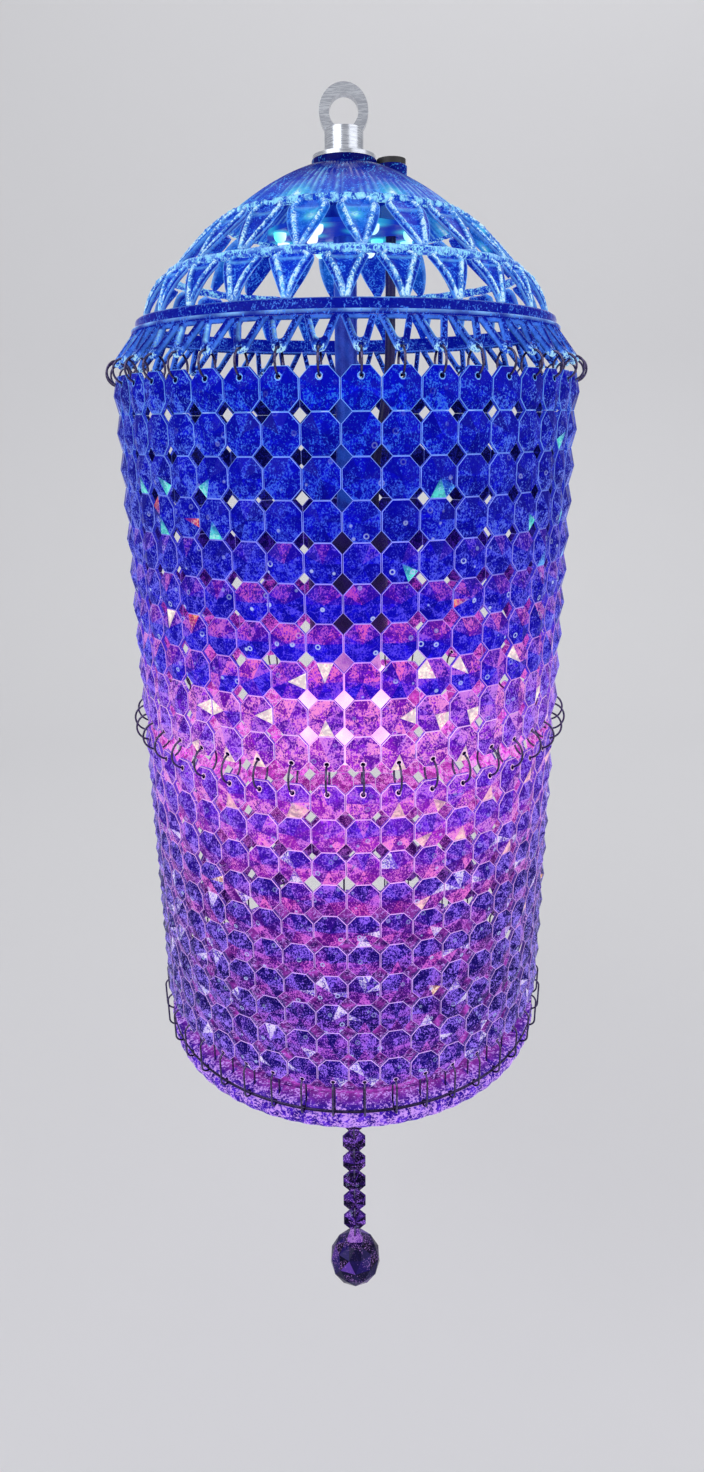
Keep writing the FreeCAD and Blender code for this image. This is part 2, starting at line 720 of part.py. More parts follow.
def dish_profile():
    """Half section of the dish: lip over the hoop, neck, apron under it, and a ridged bowl."""
    lip_radius = strand_radius + dish_lip_overhang
    outer = [(lip_radius, lip_top), (lip_radius, lip_bottom), (neck_radius, lip_bottom)]
    outer = outer + [(neck_radius, apron_top), (dish_apron_radius, apron_top)]
    outer = outer + [(dish_apron_radius - dish_apron_lean, apron_top - dish_apron_height / 2)]
    outer = outer + [(apron_low_radius, apron_bottom)]
    for i in range(1, dish_bowl_steps + 1):
        r = apron_low_radius * (1 - i / dish_bowl_steps)
        outer.append((r, bowl_height(r)))
    floor_radius = neck_radius - dish_wall
    inner = [(0, dish_inside), (dish_pad_radius, dish_inside)]
    crests = 2 * dish_ridge_count
    for i in range(1, crests + 1):
        r = floor_radius * i / crests
        inner.append((r, bowl_height(r) + dish_wall + dish_ridge_height * (i % 2)))
    inner.append((floor_radius, lip_top))
    return outer + inner


def make_hoop_and_dish():
    """Wire links from the last beads, the hoop that they hold, and the dish whose lip rests on it."""
    link = long_link(ring_wire_radius, link_half_width, link_top, link_bottom, -strand_radius)
    write("hoop_links", round_the_axis(link, strand_count, strand_turn))
    write("bottom_hoop", [ring(strand_radius, hoop_wire_radius, Vec(0, 0, hoop_z), Vec(0, 0, 1))])
    dish = turned_profile(dish_profile())
    slot_depth = strand_radius - neck_radius + dish_slot_extra
    slot = Part.makeBox(dish_slot_width, slot_depth, dish_lip_thickness + 2 * hoop_clearance)
    slot = moved(slot, -dish_slot_width / 2, -neck_radius - slot_depth, lip_bottom - hoop_clearance)
    dish = dish.cut(Part.makeCompound(round_the_axis(slot, strand_count, strand_turn)))
    shank_hole = drop_shank_radius + fit_clearance
    dish = dish.cut(rod(shank_hole, dish_floor - cut_past, dish_inside + cut_past))
    write("bottom_dish", [dish.Solids[0]])


# The drop: an eye under the dish, three lengths of beads on rings, and the ball on its lug
drop_hole_gap = drop_bead_gap + 2 * bead_hole_from_edge
drop_ring_major = drop_hole_gap / 2 - ring_seat_lift
drop_pitch = bead_height + drop_bead_gap
drop_eye_z = dish_floor - drop_eye_stalk - drop_eye_radius - drop_eye_wire
top_ring_top = drop_eye_z - drop_eye_radius + drop_eye_wire + ring_wire_radius + ring_touch_gap
top_ring_z = top_ring_top - drop_top_ring_radius
first_hang = top_ring_z - drop_top_ring_radius


def drop_bead_centre(index):
    """Height of the centre of a bead of the drop, counted from 0 at the top."""
    first = first_hang + ring_seat_lift - (bead_height / 2 - bead_hole_from_edge)
    return first - index * drop_pitch


def drop_ring_centre(index):
    """Height of the centre of the ring under a bead of the drop."""
    return drop_bead_centre(index) - drop_pitch / 2


def make_drop_fixing():
    """The eye through the dish, and the washer and nut that hold it."""
    eye = ring(drop_eye_radius, drop_eye_wire, Vec(0, 0, drop_eye_z), Vec(0, 1, 0))
    seat = dish_floor - drop_eye_stalk
    collar = rod(drop_collar_radius, seat - drop_collar_overlap, dish_floor)
    shank = rod(drop_shank_radius, seat, dish_inside + drop_shank_above)
    write("drop_eye", [eye.fuse(collar).fuse(shank).Solids[0]])
    washer_high = dish_inside + drop_washer_thickness
    bore = drop_shank_radius + fit_clearance
    washer = rod(drop_washer_radius, dish_inside, washer_high)
    write("drop_washer", [washer.cut(rod(bore, dish_inside - cut_past, washer_high + cut_past))])
    bore = drop_shank_radius + stem_clearance
    write("drop_nut", [hexagon_nut(drop_nut_across_flats / 2, drop_nut_thickness, bore, washer_high)])


def make_drop():
    """The hook ring under the eye, and three lengths of beads and rings."""
    axis = Vec(1, 0, 0)
    write("drop_top_ring", [ring(drop_top_ring_radius, ring_wire_radius, Vec(0, 0, top_ring_z), axis)])
    bead = octagon_bead(top_hole=True, bottom_hole=True, threaded=False)
    link = ring(drop_ring_major, ring_wire_radius, Vec(0, 0, 0), axis)
    n = drop_beads_per_length
    # upper length: its beads and the rings between them
    write("drop_upper_beads", [moved(bead, 0, 0, drop_bead_centre(i)) for i in range(n)])
    write("drop_upper_rings", [moved(link, 0, 0, drop_ring_centre(i)) for i in range(n - 1)])
    # middle length: it starts with the ring that hangs in the upper length
    write("drop_middle_beads", [moved(bead, 0, 0, drop_bead_centre(n + i)) for i in range(n)])
    write("drop_middle_rings", [moved(link, 0, 0, drop_ring_centre(n - 1 + i)) for i in range(n + 1)])
    # lower length: it hangs on the last ring of the middle length
    write("drop_lower_beads", [moved(bead, 0, 0, drop_bead_centre(2 * n + i)) for i in range(n)])
    write("drop_lower_rings", [moved(link, 0, 0, drop_ring_centre(2 * n + i)) for i in range(n - 1)])
    ball_ring_z = drop_ring_centre(3 * n - 1)
    write("ball_ring", [moved(link, 0, 0, ball_ring_z)])
    make_ball(ball_ring_z - drop_ring_major)


def facet_ball(radius, centre):
    """A ball cut in rows of flat facets, flat at its top and bottom."""
    rings = []
    for row in range(ball_facet_rows + 1):
        tilt = math.radians(ball_flat_angle * (2 * row / ball_facet_rows - 1))
        turn = math.pi / ball_facets_round * (row % 2)
        r = radius * math.cos(tilt)
        z = centre + radius * math.sin(tilt)
        angles = [2 * math.pi * i / ball_facets_round + turn for i in range(ball_facets_round)]
        rings.append([Vec(r * math.cos(a), r * math.sin(a), z) for a in angles])
    faces = [flat_face(rings[0][::-1]), flat_face(rings[-1])]
    for row in range(ball_facet_rows):
        low = rings[row]
        high = rings[row + 1]
        for i in range(ball_facets_round):
            j = (i + 1) % ball_facets_round
            # a row starts half a facet further round than the row under it, or half a facet back
            if row % 2 == 0:
                faces.append(flat_face([low[i], low[j], high[i]]))
                faces.append(flat_face([low[j], high[j], high[i]]))
            else:
                faces.append(flat_face([low[i], low[j], high[j]]))
                faces.append(flat_face([low[i], high[j], high[i]]))
    return solid_of(faces)


def lug_section(half_width, half_depth, height):
    """Outline of the lug at a height: a rectangle whose corners are cut off."""
    corner_x = half_width * lug_corner_share
    corner_y = half_depth * lug_corner_share
    corners = [Vec(x, y, height) for x, y in cut_corners(half_width, half_depth, corner_x, corner_y)]
    return Part.makePolygon(corners + corners[:1])


def make_ball(hang):
    """The faceted ball with its drilled lug, which hangs on the ball ring at the given height."""
    lug_top = hang - ring_seat_lift + lug_hole_from_top
    ball_top = lug_top - lug_height
    flat = ball_radius * math.sin(math.radians(ball_flat_angle))
    centre = ball_top - flat
    low = lug_section(lug_low_half_width, lug_low_half_depth, ball_top)
    high = lug_section(lug_top_half_width, lug_top_half_depth, lug_top)
    lug = Part.makeLoft([low, high], True, True)
    hole = cross_rod(lug_hole_radius, lug_low_half_depth + cut_past, 0, lug_top - lug_hole_from_top)
    ball = facet_ball(ball_radius, centre).fuse(lug).cut(hole)
    write("crystal_ball", [ball.Solids[0]])
    print("ball centre", round(centre, 2), "bottom", round(centre - flat, 2))


os.makedirs("parts", exist_ok=True)
make_hanging()
make_cap()
make_dome_rings()
make_petals()
make_crown()
make_small_lamps()
make_wiring()
make_holder()
make_bulb()
make_curtains()
make_curtain_rings()
make_hoop_and_dish()
make_drop_fixing()
make_drop()
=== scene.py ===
# %% [markdown]
# # A bead chandelier, lit from inside
# The lamp is a dome of moulded petals over two curtains of octagon crystal beads, with a ridged dish
# under them and a bead drop with a faceted ball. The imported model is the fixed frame: it says where
# each piece is. Every new surface here is worked out with numpy and stands where its CAD node stands.

# %% Load the frame
import json
import math
import bpy
import numpy as np
from mathutils import Matrix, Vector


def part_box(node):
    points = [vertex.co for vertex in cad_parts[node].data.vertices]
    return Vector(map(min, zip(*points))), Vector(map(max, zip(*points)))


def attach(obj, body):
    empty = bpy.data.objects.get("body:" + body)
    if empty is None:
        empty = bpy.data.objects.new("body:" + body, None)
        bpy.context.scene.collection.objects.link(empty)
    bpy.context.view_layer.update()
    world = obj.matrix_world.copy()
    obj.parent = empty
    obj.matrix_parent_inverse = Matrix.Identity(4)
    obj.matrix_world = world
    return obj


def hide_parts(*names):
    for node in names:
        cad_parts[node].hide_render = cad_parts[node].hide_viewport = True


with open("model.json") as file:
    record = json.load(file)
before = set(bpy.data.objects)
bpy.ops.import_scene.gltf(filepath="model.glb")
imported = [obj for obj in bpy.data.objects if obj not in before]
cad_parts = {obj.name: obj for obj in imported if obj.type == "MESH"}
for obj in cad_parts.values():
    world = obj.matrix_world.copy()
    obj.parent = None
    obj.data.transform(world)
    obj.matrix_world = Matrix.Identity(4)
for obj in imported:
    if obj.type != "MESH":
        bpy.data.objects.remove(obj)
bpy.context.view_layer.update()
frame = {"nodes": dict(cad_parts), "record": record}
nodes = frame["nodes"]
MM = 0.001

# %% [markdown]
# ## Camera
# The photo was taken close to the lamp with a wide lens, a little over the middle and looking down, so
# the curtain narrows downwards. A camera could be placed by eye, but this near a few centimetres change
# the shape of everything. These values come from fitting a pinhole camera to the bead rows and the
# rims. The photo leans by half a degree.

# %% Set up the camera
CAMERA_BACK = 422.8
CAMERA_HEIGHT = -118.0
CAMERA_DOWN = 19.78
CAMERA_ROLL = -0.58
CAMERA_SHIFT = 0.0014
LENS_PER_HEIGHT = 878 / 1472

camera_data = bpy.data.cameras.new("photo_camera")
camera_data.sensor_fit = "VERTICAL"
camera_data.sensor_height = 36.0
camera_data.lens = camera_data.sensor_height * LENS_PER_HEIGHT
camera_data.shift_x = CAMERA_SHIFT
camera = bpy.data.objects.new("photo_camera", camera_data)
camera.location = (0.0, -CAMERA_BACK * MM, CAMERA_HEIGHT * MM)
tilt = Matrix.Rotation(math.radians(90 - CAMERA_DOWN), 3, "X")
roll = Matrix.Rotation(math.radians(CAMERA_ROLL), 3, "Z")
camera.rotation_euler = (tilt @ roll).to_euler()
bpy.context.scene.collection.objects.link(camera)
bpy.context.scene.camera = camera
print("lens", round(camera_data.lens, 2), "mm")

# %% [markdown]
# ## Points and faces
# Nearly every piece of the lamp is turned about its axis or repeated round it. Such pieces could be
# drawn by hand with a Screw or an Array modifier. A grid of points from a formula is shorter, takes its
# sizes from the frame and gives each copy its own colours. Points are in millimetres, and every object
# stays at the origin, so a pattern on object coordinates has the lamp's own scale.


# %% Places round the axis
def span(node):
    """The lowest and highest corner of a CAD node in millimetres."""
    low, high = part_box(node)
    return np.array(low) / MM, np.array(high) / MM


def full_turn(count):
    """Evenly spaced angles of one full turn, without its end."""
    return np.linspace(0, 2 * math.pi, count, endpoint=False)


def polar(r, z, turns):
    """Points at radius r and height z, turned from the -Y side towards +X."""
    return np.stack([r * np.sin(turns), -r * np.cos(turns), z], axis=-1)


def carried_round(r, z, turns):
    """A profile carried round the axis: grids of radius, height and turn, one row per profile point."""
    rr, tt = np.meshgrid(r, turns, indexing="ij")
    return rr, np.repeat(np.asarray(z)[:, None], len(turns), axis=1), tt


def turn_of(points):
    """The turn of each point from the -Y side towards +X."""
    return np.arctan2(points[:, 0], -points[:, 1])


def copies(points, angles, radius=0.0, height=0.0):
    """Copies of the points, each moved out to a radius at the -Y side, up to a height, then turned about
    Z by its angle. The shape is (copies, points, 3)."""
    c, s = np.cos(angles)[:, None], np.sin(angles)[:, None]
    x = np.broadcast_to(points[:, 0], (len(angles), len(points)))
    y = points[:, 1] - np.reshape(radius, (-1, 1))
    z = np.broadcast_to(points[:, 2] + np.reshape(height, (-1, 1)), x.shape)
    return np.stack([x * c - y * s, x * s + y * c, z], axis=2)


cad_height = span("dome_cap")[1][2] - span("bottom_dish")[0][2]
print("dome to dish", round(cad_height, 1), "mm")


# %% Faces
def grid_faces(rows, columns, closed_rows=False, closed_columns=False):
    """Quads of a grid of points stored row by row. A closed way joins its last line to its first."""
    i = np.arange(rows if closed_rows else rows - 1)
    j = np.arange(columns if closed_columns else columns - 1)
    i, j = [a.ravel() for a in np.meshgrid(i, j, indexing="ij")]
    up, on = (i + 1) % rows, (j + 1) % columns
    return np.stack([i * columns + j, i * columns + on, up * columns + on, up * columns + j], axis=1)


def many(faces, count, points_each):
    """The faces of one copy, repeated for all copies."""
    return [[v + k * points_each for v in f] for k in range(count) for f in faces]


def outwards(points, faces):
    """The faces, all turned over if the closed shape's volume comes out negative. The volume is the sum
    of a . (b x c) over the triangles that fan out from each face's first corner."""
    points = np.asarray(points, float)
    fans = np.array([(f[0], f[i], f[i + 1]) for f in faces for i in range(1, len(f) - 1)])
    a, b, c = points[fans[:, 0]], points[fans[:, 1]], points[fans[:, 2]]
    volume = np.einsum("ij,ij->i", a, np.cross(b, c)).sum()
    return [list(f)[::-1] for f in faces] if volume < 0 else [list(f) for f in faces]


print("a closed grid of 3 by 4 has", len(grid_faces(3, 4, True, True)), "faces")


# %% New pieces
def new_piece(name, points, faces, body, node, slot, look, sharp=None):
    """A mesh object that rides on a body and stands for a CAD node. The angle sharp, in degrees, is that
    over which an edge stays sharp. Without it all faces are flat."""
    mesh = bpy.data.meshes.new(name)
    places = np.asarray(points).reshape(-1, 3) * MM
    mesh.from_pydata(places.tolist(), [], [list(map(int, f)) for f in faces])
    mesh.polygons.foreach_set("use_smooth", np.full(len(mesh.polygons), sharp is not None))
    if sharp is not None:
        mesh.set_sharp_from_angle(angle=math.radians(sharp))
    piece = bpy.data.objects.new(name, mesh)
    bpy.context.scene.collection.objects.link(piece)
    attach(piece, body)
    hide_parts(node)
    mesh.materials.append(look)
    print(name, len(mesh.polygons), "faces")
    return piece



# %% [markdown]
# ## Painted colours
# The light in the lamp changes from bead to bead and from facet to facet. Real light through hundreds
# of glass beads would need very many samples and wouldn't repeat the photo, so each facet is painted
# with a tone instead: by corner where cut crystal needs sharp facets, by point where moulded glass
# shades smoothly. A second painted colour is that of the sparks in the glass. The fourth channels say
# how much of a facet sparks cover, and how strongly painted glints show as pale lines and rings.

# %% Tones
rng = np.random.default_rng(44)


def rgb(r, g, b):
    """A colour from 0 to 255 as the linear colour that shaders use."""
    c = np.array([r, g, b], float) / 255
    return np.where(c <= 0.04045, c / 12.92, ((c + 0.055) / 1.055) ** 2.4)


def blended(a, b, share):
    """Tones between a and b by an array of shares."""
    share = np.clip(share, 0, 1)[..., None]
    return np.asarray(a) * (1 - share) + np.asarray(b) * share


def bell(distance, width):
    """A bell curve of the distance, 1 at zero: e to the minus square of distance over width."""
    return np.exp(-(distance / width) ** 2)


def paint(piece, tones, cover, sparks, glint_strength=0.0, corners=False):
    """Paints the tone with the cover, and the spark with the strength of painted glints, one value for
    each point or for each corner of each face."""
    shape = np.shape(tones)
    for name, colour, fourth in (("tone", tones, cover), ("spark", sparks, glint_strength)):
        colour = np.broadcast_to(np.asarray(colour, float), shape)
        fourth = np.broadcast_to(np.asarray(fourth, float), shape[:-1])[..., None]
        layer = piece.data.color_attributes.new(name, "FLOAT_COLOR", "CORNER" if corners else "POINT")
        layer.data.foreach_set("color", np.concatenate([colour, fourth], axis=-1).ravel())


def per_corner(values, faces, axis=-1):
    """A value of each face, repeated for the face's corners."""
    return np.repeat(values, [len(f) for f in faces], axis=axis)


print("middle grey is", np.round(rgb(128, 128, 128), 3))

# %% [markdown]
# ## The glass
# Real crystal beads are clear. Here they carry the painted light of the small blue lamps above and of
# the pink bulb behind them. A plain glass shader would only show the pale studio, so this glass glows
# in its painted tone, broken up by a fine grain, a net of bright lines, sparks and painted glint rings,
# and lets a little light through. A deep place turns towards blue rather than black, as lit glass does.


# %% Node helpers
def material(name):
    """A new material, its node tree and its Principled shader."""
    m = bpy.data.materials.new(name)
    m.use_nodes = True
    return m, m.node_tree, m.node_tree.nodes["Principled BSDF"]


def fill(shader, **values):
    """Sets the shader's own sockets. A name's low lines stand for spaces."""
    for name, value in values.items():
        shader.inputs[name.replace("_", " ")].default_value = value


def connect(tree, sockets, values):
    """Gives each socket its value, which is another socket or a constant."""
    for socket, value in zip(sockets, values):
        if isinstance(value, bpy.types.NodeSocket):
            tree.links.new(value, socket)
        else:
            socket.default_value = value


def maths(tree, operation, a, b=0.0):
    """The result of an operation on one or two values."""
    node = tree.nodes.new("ShaderNodeMath")
    node.operation = operation
    connect(tree, node.inputs, (a, b))
    return node.outputs[0]


def added(tree, a, b):
    """The sum of two values."""
    return maths(tree, "ADD", a, b)


def times(tree, a, b):
    """The product of two values."""
    return maths(tree, "MULTIPLY", a, b)


def step(tree, source, low, high, bottom=0.0, top=1.0):
    """A smooth step of a value from bottom to top while it goes from low to high."""
    node = tree.nodes.new("ShaderNodeMapRange")
    node.interpolation_type = "SMOOTHSTEP"
    names = ("Value", "From Min", "From Max", "To Min", "To Max")
    connect(tree, [node.inputs[n] for n in names], (source, low, high, bottom, top))
    return node.outputs["Result"]


def mix(tree, kind, factor, a, b):
    """Mixes two colours. The mix node's inputs 6 and 7 are its colours."""
    node = tree.nodes.new("ShaderNodeMix")
    node.data_type = "RGBA"
    node.blend_type = kind
    connect(tree, (node.inputs[0], node.inputs[6], node.inputs[7]), (factor, a, b))
    return node.outputs[2]


def flat(c):
    """A linear colour as a colour socket's value."""
    return (float(c[0]), float(c[1]), float(c[2]), 1.0)


def two_tones(tree, shader, socket, share, a, b):
    """Gives a socket of the shader a colour from a to b by a share."""
    tree.links.new(mix(tree, "MIX", share, flat(a), flat(b)), shader.inputs[socket])


print("a colour socket takes", flat(rgb(255, 255, 255)))


# %% Patterns on object coordinates
def here(tree):
    """The place on the piece, in the lamp's own coordinates."""
    return tree.nodes.new("ShaderNodeTexCoord").outputs["Object"]


def noise(tree, per_mm, detail=2.0, roughness=0.5, stretch=(1, 1, 1)):
    """Noise with about per_mm features in a millimetre."""
    mapping = tree.nodes.new("ShaderNodeMapping")
    texture = tree.nodes.new("ShaderNodeTexNoise")
    fill(mapping, Scale=stretch)
    fill(texture, Scale=per_mm / MM, Detail=detail, Roughness=roughness)
    tree.links.new(here(tree), mapping.inputs["Vector"])
    tree.links.new(mapping.outputs["Vector"], texture.inputs["Vector"])
    return texture.outputs["Fac"]


def cells(tree, apart, feature, output):
    """Cells about apart millimetres wide: a value of each, or the distance to a point or an edge."""
    texture = tree.nodes.new("ShaderNodeTexVoronoi")
    texture.feature = feature
    fill(texture, Scale=1 / (apart * MM), Randomness=0.9)
    tree.links.new(here(tree), texture.inputs["Vector"])
    return texture.outputs[output]


def glint_rings(tree, apart, radius):
    """Painted glint rings: rings of a radius round points about apart millimetres from each other."""
    distance = cells(tree, apart, "F1", "Distance")
    size = radius / apart
    rise = step(tree, distance, size * 0.6, size * 0.9)
    fall = step(tree, distance, size * 1.1, size * 1.4, 1.0, 0.0)
    return times(tree, rise, fall)


def bump(tree, shader, height, depth, strength=0.5):
    """Bumps from a height socket, with their depth in millimetres."""
    node = tree.nodes.new("ShaderNodeBump")
    fill(node, Distance=depth * MM, Strength=strength)
    tree.links.new(height, node.inputs["Height"])
    tree.links.new(node.outputs["Normal"], shader.inputs["Normal"])


def painted(tree, name):
    """The colour and the fourth channel of a painted attribute."""
    node = tree.nodes.new("ShaderNodeAttribute")
    node.attribute_name = name
    return node.outputs["Color"], node.outputs["Alpha"]


print("patterns count in millimetres, so a scale is divided by", MM)


# %% Glass lit from inside
SHARD_SHIFT = 0.07
NET_CELL = 1.7
NET_EDGE = (0.02, 0.16)
NET_LIFT = (0.09, -0.02)
COVER_LIFT = 0.36
SPARK_LEVEL = (0.64, 0.80)
DEEP_LEVEL = (0.36, 0.64)
DEEP_COVER = 1.8
SHALLOW = (1.25, 1.25, 1.25, 1.0)
LINE_CELL = 2.2
LINE_WIDTH = (0.012, 0.035)
LINE_GRAINS = (0.42, 0.55)
# Pale rings painted into the glass as glints.
GLINT_RING_APART = 6.5
GLINT_RING_RADIUS = 0.9
GLINT_RING_TONE = rgb(186, 200, 255)
LIT_SHARE = (0.4, 0.4, 0.4, 1.0)


def lit_glass(name, grain_per_mm, glow, through, dim, stretch=(1, 1, 1), shard=3.0, roughness=0.1):
    """Glass whose painted tone is covered by grains of the painted spark colour.
    Where noise plus a share of the cover passes a level, the spark shows. A net along the edges of small
    cells lifts the noise, and shards, which are cells with a value each, shift it. A deep place is the
    tone times the dim colour, and thin lines run along larger cells."""
    m, tree, shader = material(name)
    tone, cover = painted(tree, "tone")
    spark, glint_strength = painted(tree, "spark")
    shards = step(tree, cells(tree, shard, "F1", "Color"), 0.2, 0.8, -SHARD_SHIFT, SHARD_SHIFT)
    net = cells(tree, NET_CELL / grain_per_mm, "DISTANCE_TO_EDGE", "Distance")
    shift = added(tree, shards, step(tree, net, *NET_EDGE, *NET_LIFT))
    grains = added(tree, noise(tree, grain_per_mm, 3.0, 0.65, stretch), shift)
    shallow = step(tree, added(tree, noise(tree, grain_per_mm / 3, 2.0), shards), *DEEP_LEVEL)
    depth = mix(tree, "MIX", shallow, dim, SHALLOW)
    body = mix(tree, "MULTIPLY", times(tree, cover, DEEP_COVER), tone, depth)
    reach = added(tree, grains, times(tree, cover, COVER_LIFT))
    body = mix(tree, "MIX", step(tree, reach, *SPARK_LEVEL), body, spark)
    lines = cells(tree, LINE_CELL * shard, "DISTANCE_TO_EDGE", "Distance")
    lines = times(tree, step(tree, lines, *LINE_WIDTH, 0.75, 0.0), step(tree, grains, *LINE_GRAINS))
    # Painted highlights: bright lines and pale glint rings, as strong as the spark's fourth channel.
    body = mix(tree, "MIX", times(tree, lines, glint_strength), body, spark)
    rings = times(tree, glint_rings(tree, GLINT_RING_APART, GLINT_RING_RADIUS), glint_strength)
    body = mix(tree, "MIX", rings, body, flat(GLINT_RING_TONE))
    tree.links.new(mix(tree, "MULTIPLY", 1.0, body, LIT_SHARE), shader.inputs["Base Color"])
    tree.links.new(body, shader.inputs["Emission Color"])
    fill(shader, Emission_Strength=glow, Roughness=roughness, IOR=1.45, Specular_IOR_Level=0.012,
         Transmission_Weight=through)
    return m


DIM_VIOLET = (0.3, 0.22, 0.55, 1.0)
DIM_BLUE = (0.12, 0.32, 0.8, 1.0)
crystal = lit_glass("crystal", 1.5, 0.68, 0.08, DIM_VIOLET, (1, 1, 0.75))
dome_glass = lit_glass("dome_glass", 1.3, 0.7, 0.05, DIM_BLUE, (1, 1, 0.6))
dish_glass = lit_glass("dish_glass", 0.85, 0.68, 0.06, DIM_VIOLET)
ball_glass = lit_glass("ball_glass", 1.2, 0.4, 0.25, DIM_VIOLET, shard=5.0, roughness=0.03)
print("glass:", crystal.name, dome_glass.name, dish_glass.name, ball_glass.name)

# %% [markdown]
# ## One bead
# A crystal bead is an eight-sided slab, cut on each side into facets that meet in a low point. It could
# be a flat cylinder with bevels. Here a facet's tone depends on which facet it is, so the bead is made
# from rings of points, and each face keeps its kind and the number of its wedge. The two upright sides
# are halved at the middle height, because the light in a bead often changes there. The outline is
# bevelled, as the edge of every bead in the photo is a thin bright line.

# %% Bead sizes
BEAD_WIDTH = 13.9
BEAD_HEIGHT = 14.84
BEAD_CORNER = 0.27
BEAD_EDGE = 1.6
EDGE_FLAT = 0.8
BEAD_CENTRE = 5.2
BEVEL = 0.027
WEDGES = 10
TOP_WEDGE, BOTTOM_WEDGE = 1, 6
FACET, BACK, OUTLINE, BACK_OUTLINE, GIRDLE, RIM, TUBE = range(7)


def outline_points():
    """The ten corners (x, z) of the outline. Wedge k lies between corner k and the next one."""
    a, b = BEAD_WIDTH / 2, BEAD_HEIGHT / 2
    cx, cz = BEAD_WIDTH * BEAD_CORNER, BEAD_HEIGHT * BEAD_CORNER
    half = [(a, b - cz), (a - cx, b), (-a + cx, b), (-a, b - cz), (-a, 0)]
    return np.array(half + [(-x, -z) for x, z in half])


print("outline", np.round(outline_points()[:3], 2).tolist())

# %% [markdown]
# The beads at the ends of a strand have a cross hole for their wire ring, with a bright rim. A Boolean
# cut would leave long thin triangles on so small a bead. So the hole's ring of points goes into the top
# or bottom facet, and each of its sides is joined to the nearest corner of that facet.

# %% Cross hole of a bead
BEAD_HOLE = 1.0
HOLE_FROM_EDGE = 3.5
HOLE_SIDES = 8
RIM_WIDTH = 0.42


def drill_wedge(points, front, back, k):
    """Faces of wedge k on both sides round a cross hole: the facet, a bright rim and the tube between.
    The outside of the rim is joined to the corners of the facet that are nearest to it."""
    n = (k + 1) % WEDGES
    height = (BEAD_HEIGHT / 2 - HOLE_FROM_EDGE) * (1 if k == TOP_WEDGE else -1)
    slope = (BEAD_CENTRE - BEAD_EDGE) / BEAD_HEIGHT
    turns = 2 * math.pi * (np.arange(HOLE_SIDES) + 0.5) / HOLE_SIDES
    rings = []
    for side in (-1, 1):
        for radius in (BEAD_HOLE + RIM_WIDTH, BEAD_HOLE):
            x, z = radius * np.cos(turns), height + radius * np.sin(turns)
            rings.append(len(points))
            points.extend(zip(x, side * (BEAD_CENTRE / 2 - slope * np.abs(z)), z))
    front_rim, front_hole, back_rim, back_hole = rings
    rows = []
    for i in range(HOLE_SIDES):
        j = (i + 1) % HOLE_SIDES
        rows.append(([front_rim + i, front_rim + j, front_hole + j, front_hole + i][::-1], RIM, k))
        rows.append(([back_rim + i, back_rim + j, back_hole + j, back_hole + i], RIM, k))
        rows.append(([front_hole + i, front_hole + j, back_hole + j, back_hole + i][::-1], TUBE, k))
    sides = ((front_rim, (front, k, n), FACET), (back_rim, (back, 3 * WEDGES + k, 3 * WEDGES + n), BACK))
    flat_points = np.array(points)[:, [0, 2]]
    for rim, corners, kind in sides:
        gap = flat_points[rim:rim + HOLE_SIDES, None] - flat_points[list(corners)][None]
        near = np.argmin((gap ** 2).sum(2), axis=1)
        for i in range(HOLE_SIDES):
            j = (i + 1) % HOLE_SIDES
            strip = [[rim + i, corners[near[i]], rim + j]]
            if near[i] != near[j]:
                strip.append([rim + j, corners[near[i]], corners[near[j]]])
            rows += [(f if kind == BACK else f[::-1], kind, k) for f in strip]
    return rows


print("cross hole", 2 * BEAD_HOLE, "mm wide")


# %% Whole bead
def bead_template(drilled_wedges=()):
    """Points, faces, kinds and wedge numbers of one bead about its centre.
    Rings of ten points, from the front: inner outline, front edge, back edge, inner outline."""
    outline = outline_points()
    inner = outline * (1 - BEVEL)
    edge = BEAD_EDGE / 2 * EDGE_FLAT
    deep = BEAD_EDGE / 2 + (BEAD_CENTRE - BEAD_EDGE) / 2 * BEVEL
    points = []
    for ring, y in ((inner, -deep), (outline, -edge), (outline, edge), (inner, deep)):
        points += [(x, y, z) for x, z in ring]
    front, back = len(points), len(points) + 1
    points += [(0, -BEAD_CENTRE / 2, 0), (0, BEAD_CENTRE / 2, 0)]
    rows = []
    for k in range(WEDGES):
        n = (k + 1) % WEDGES
        for first, kind in ((0, OUTLINE), (WEDGES, GIRDLE), (2 * WEDGES, BACK_OUTLINE)):
            rows.append(([first + k, first + n, first + WEDGES + n, first + WEDGES + k], kind, k))
        if k not in drilled_wedges:
            rows.append(([front, n, k], FACET, k))
            rows.append(([back, 3 * WEDGES + k, 3 * WEDGES + n], BACK, k))
    for k in drilled_wedges:
        rows += drill_wedge(points, front, back, k)
    faces = outwards(points, [r[0] for r in rows])
    return np.array(points), faces, np.array([r[1] for r in rows]), np.array([r[2] for r in rows])


for drilled_wedges in ((), (TOP_WEDGE,), (TOP_WEDGE, BOTTOM_WEDGE)):
    print("drilled", drilled_wedges, "faces", len(bead_template(drilled_wedges)[1]))
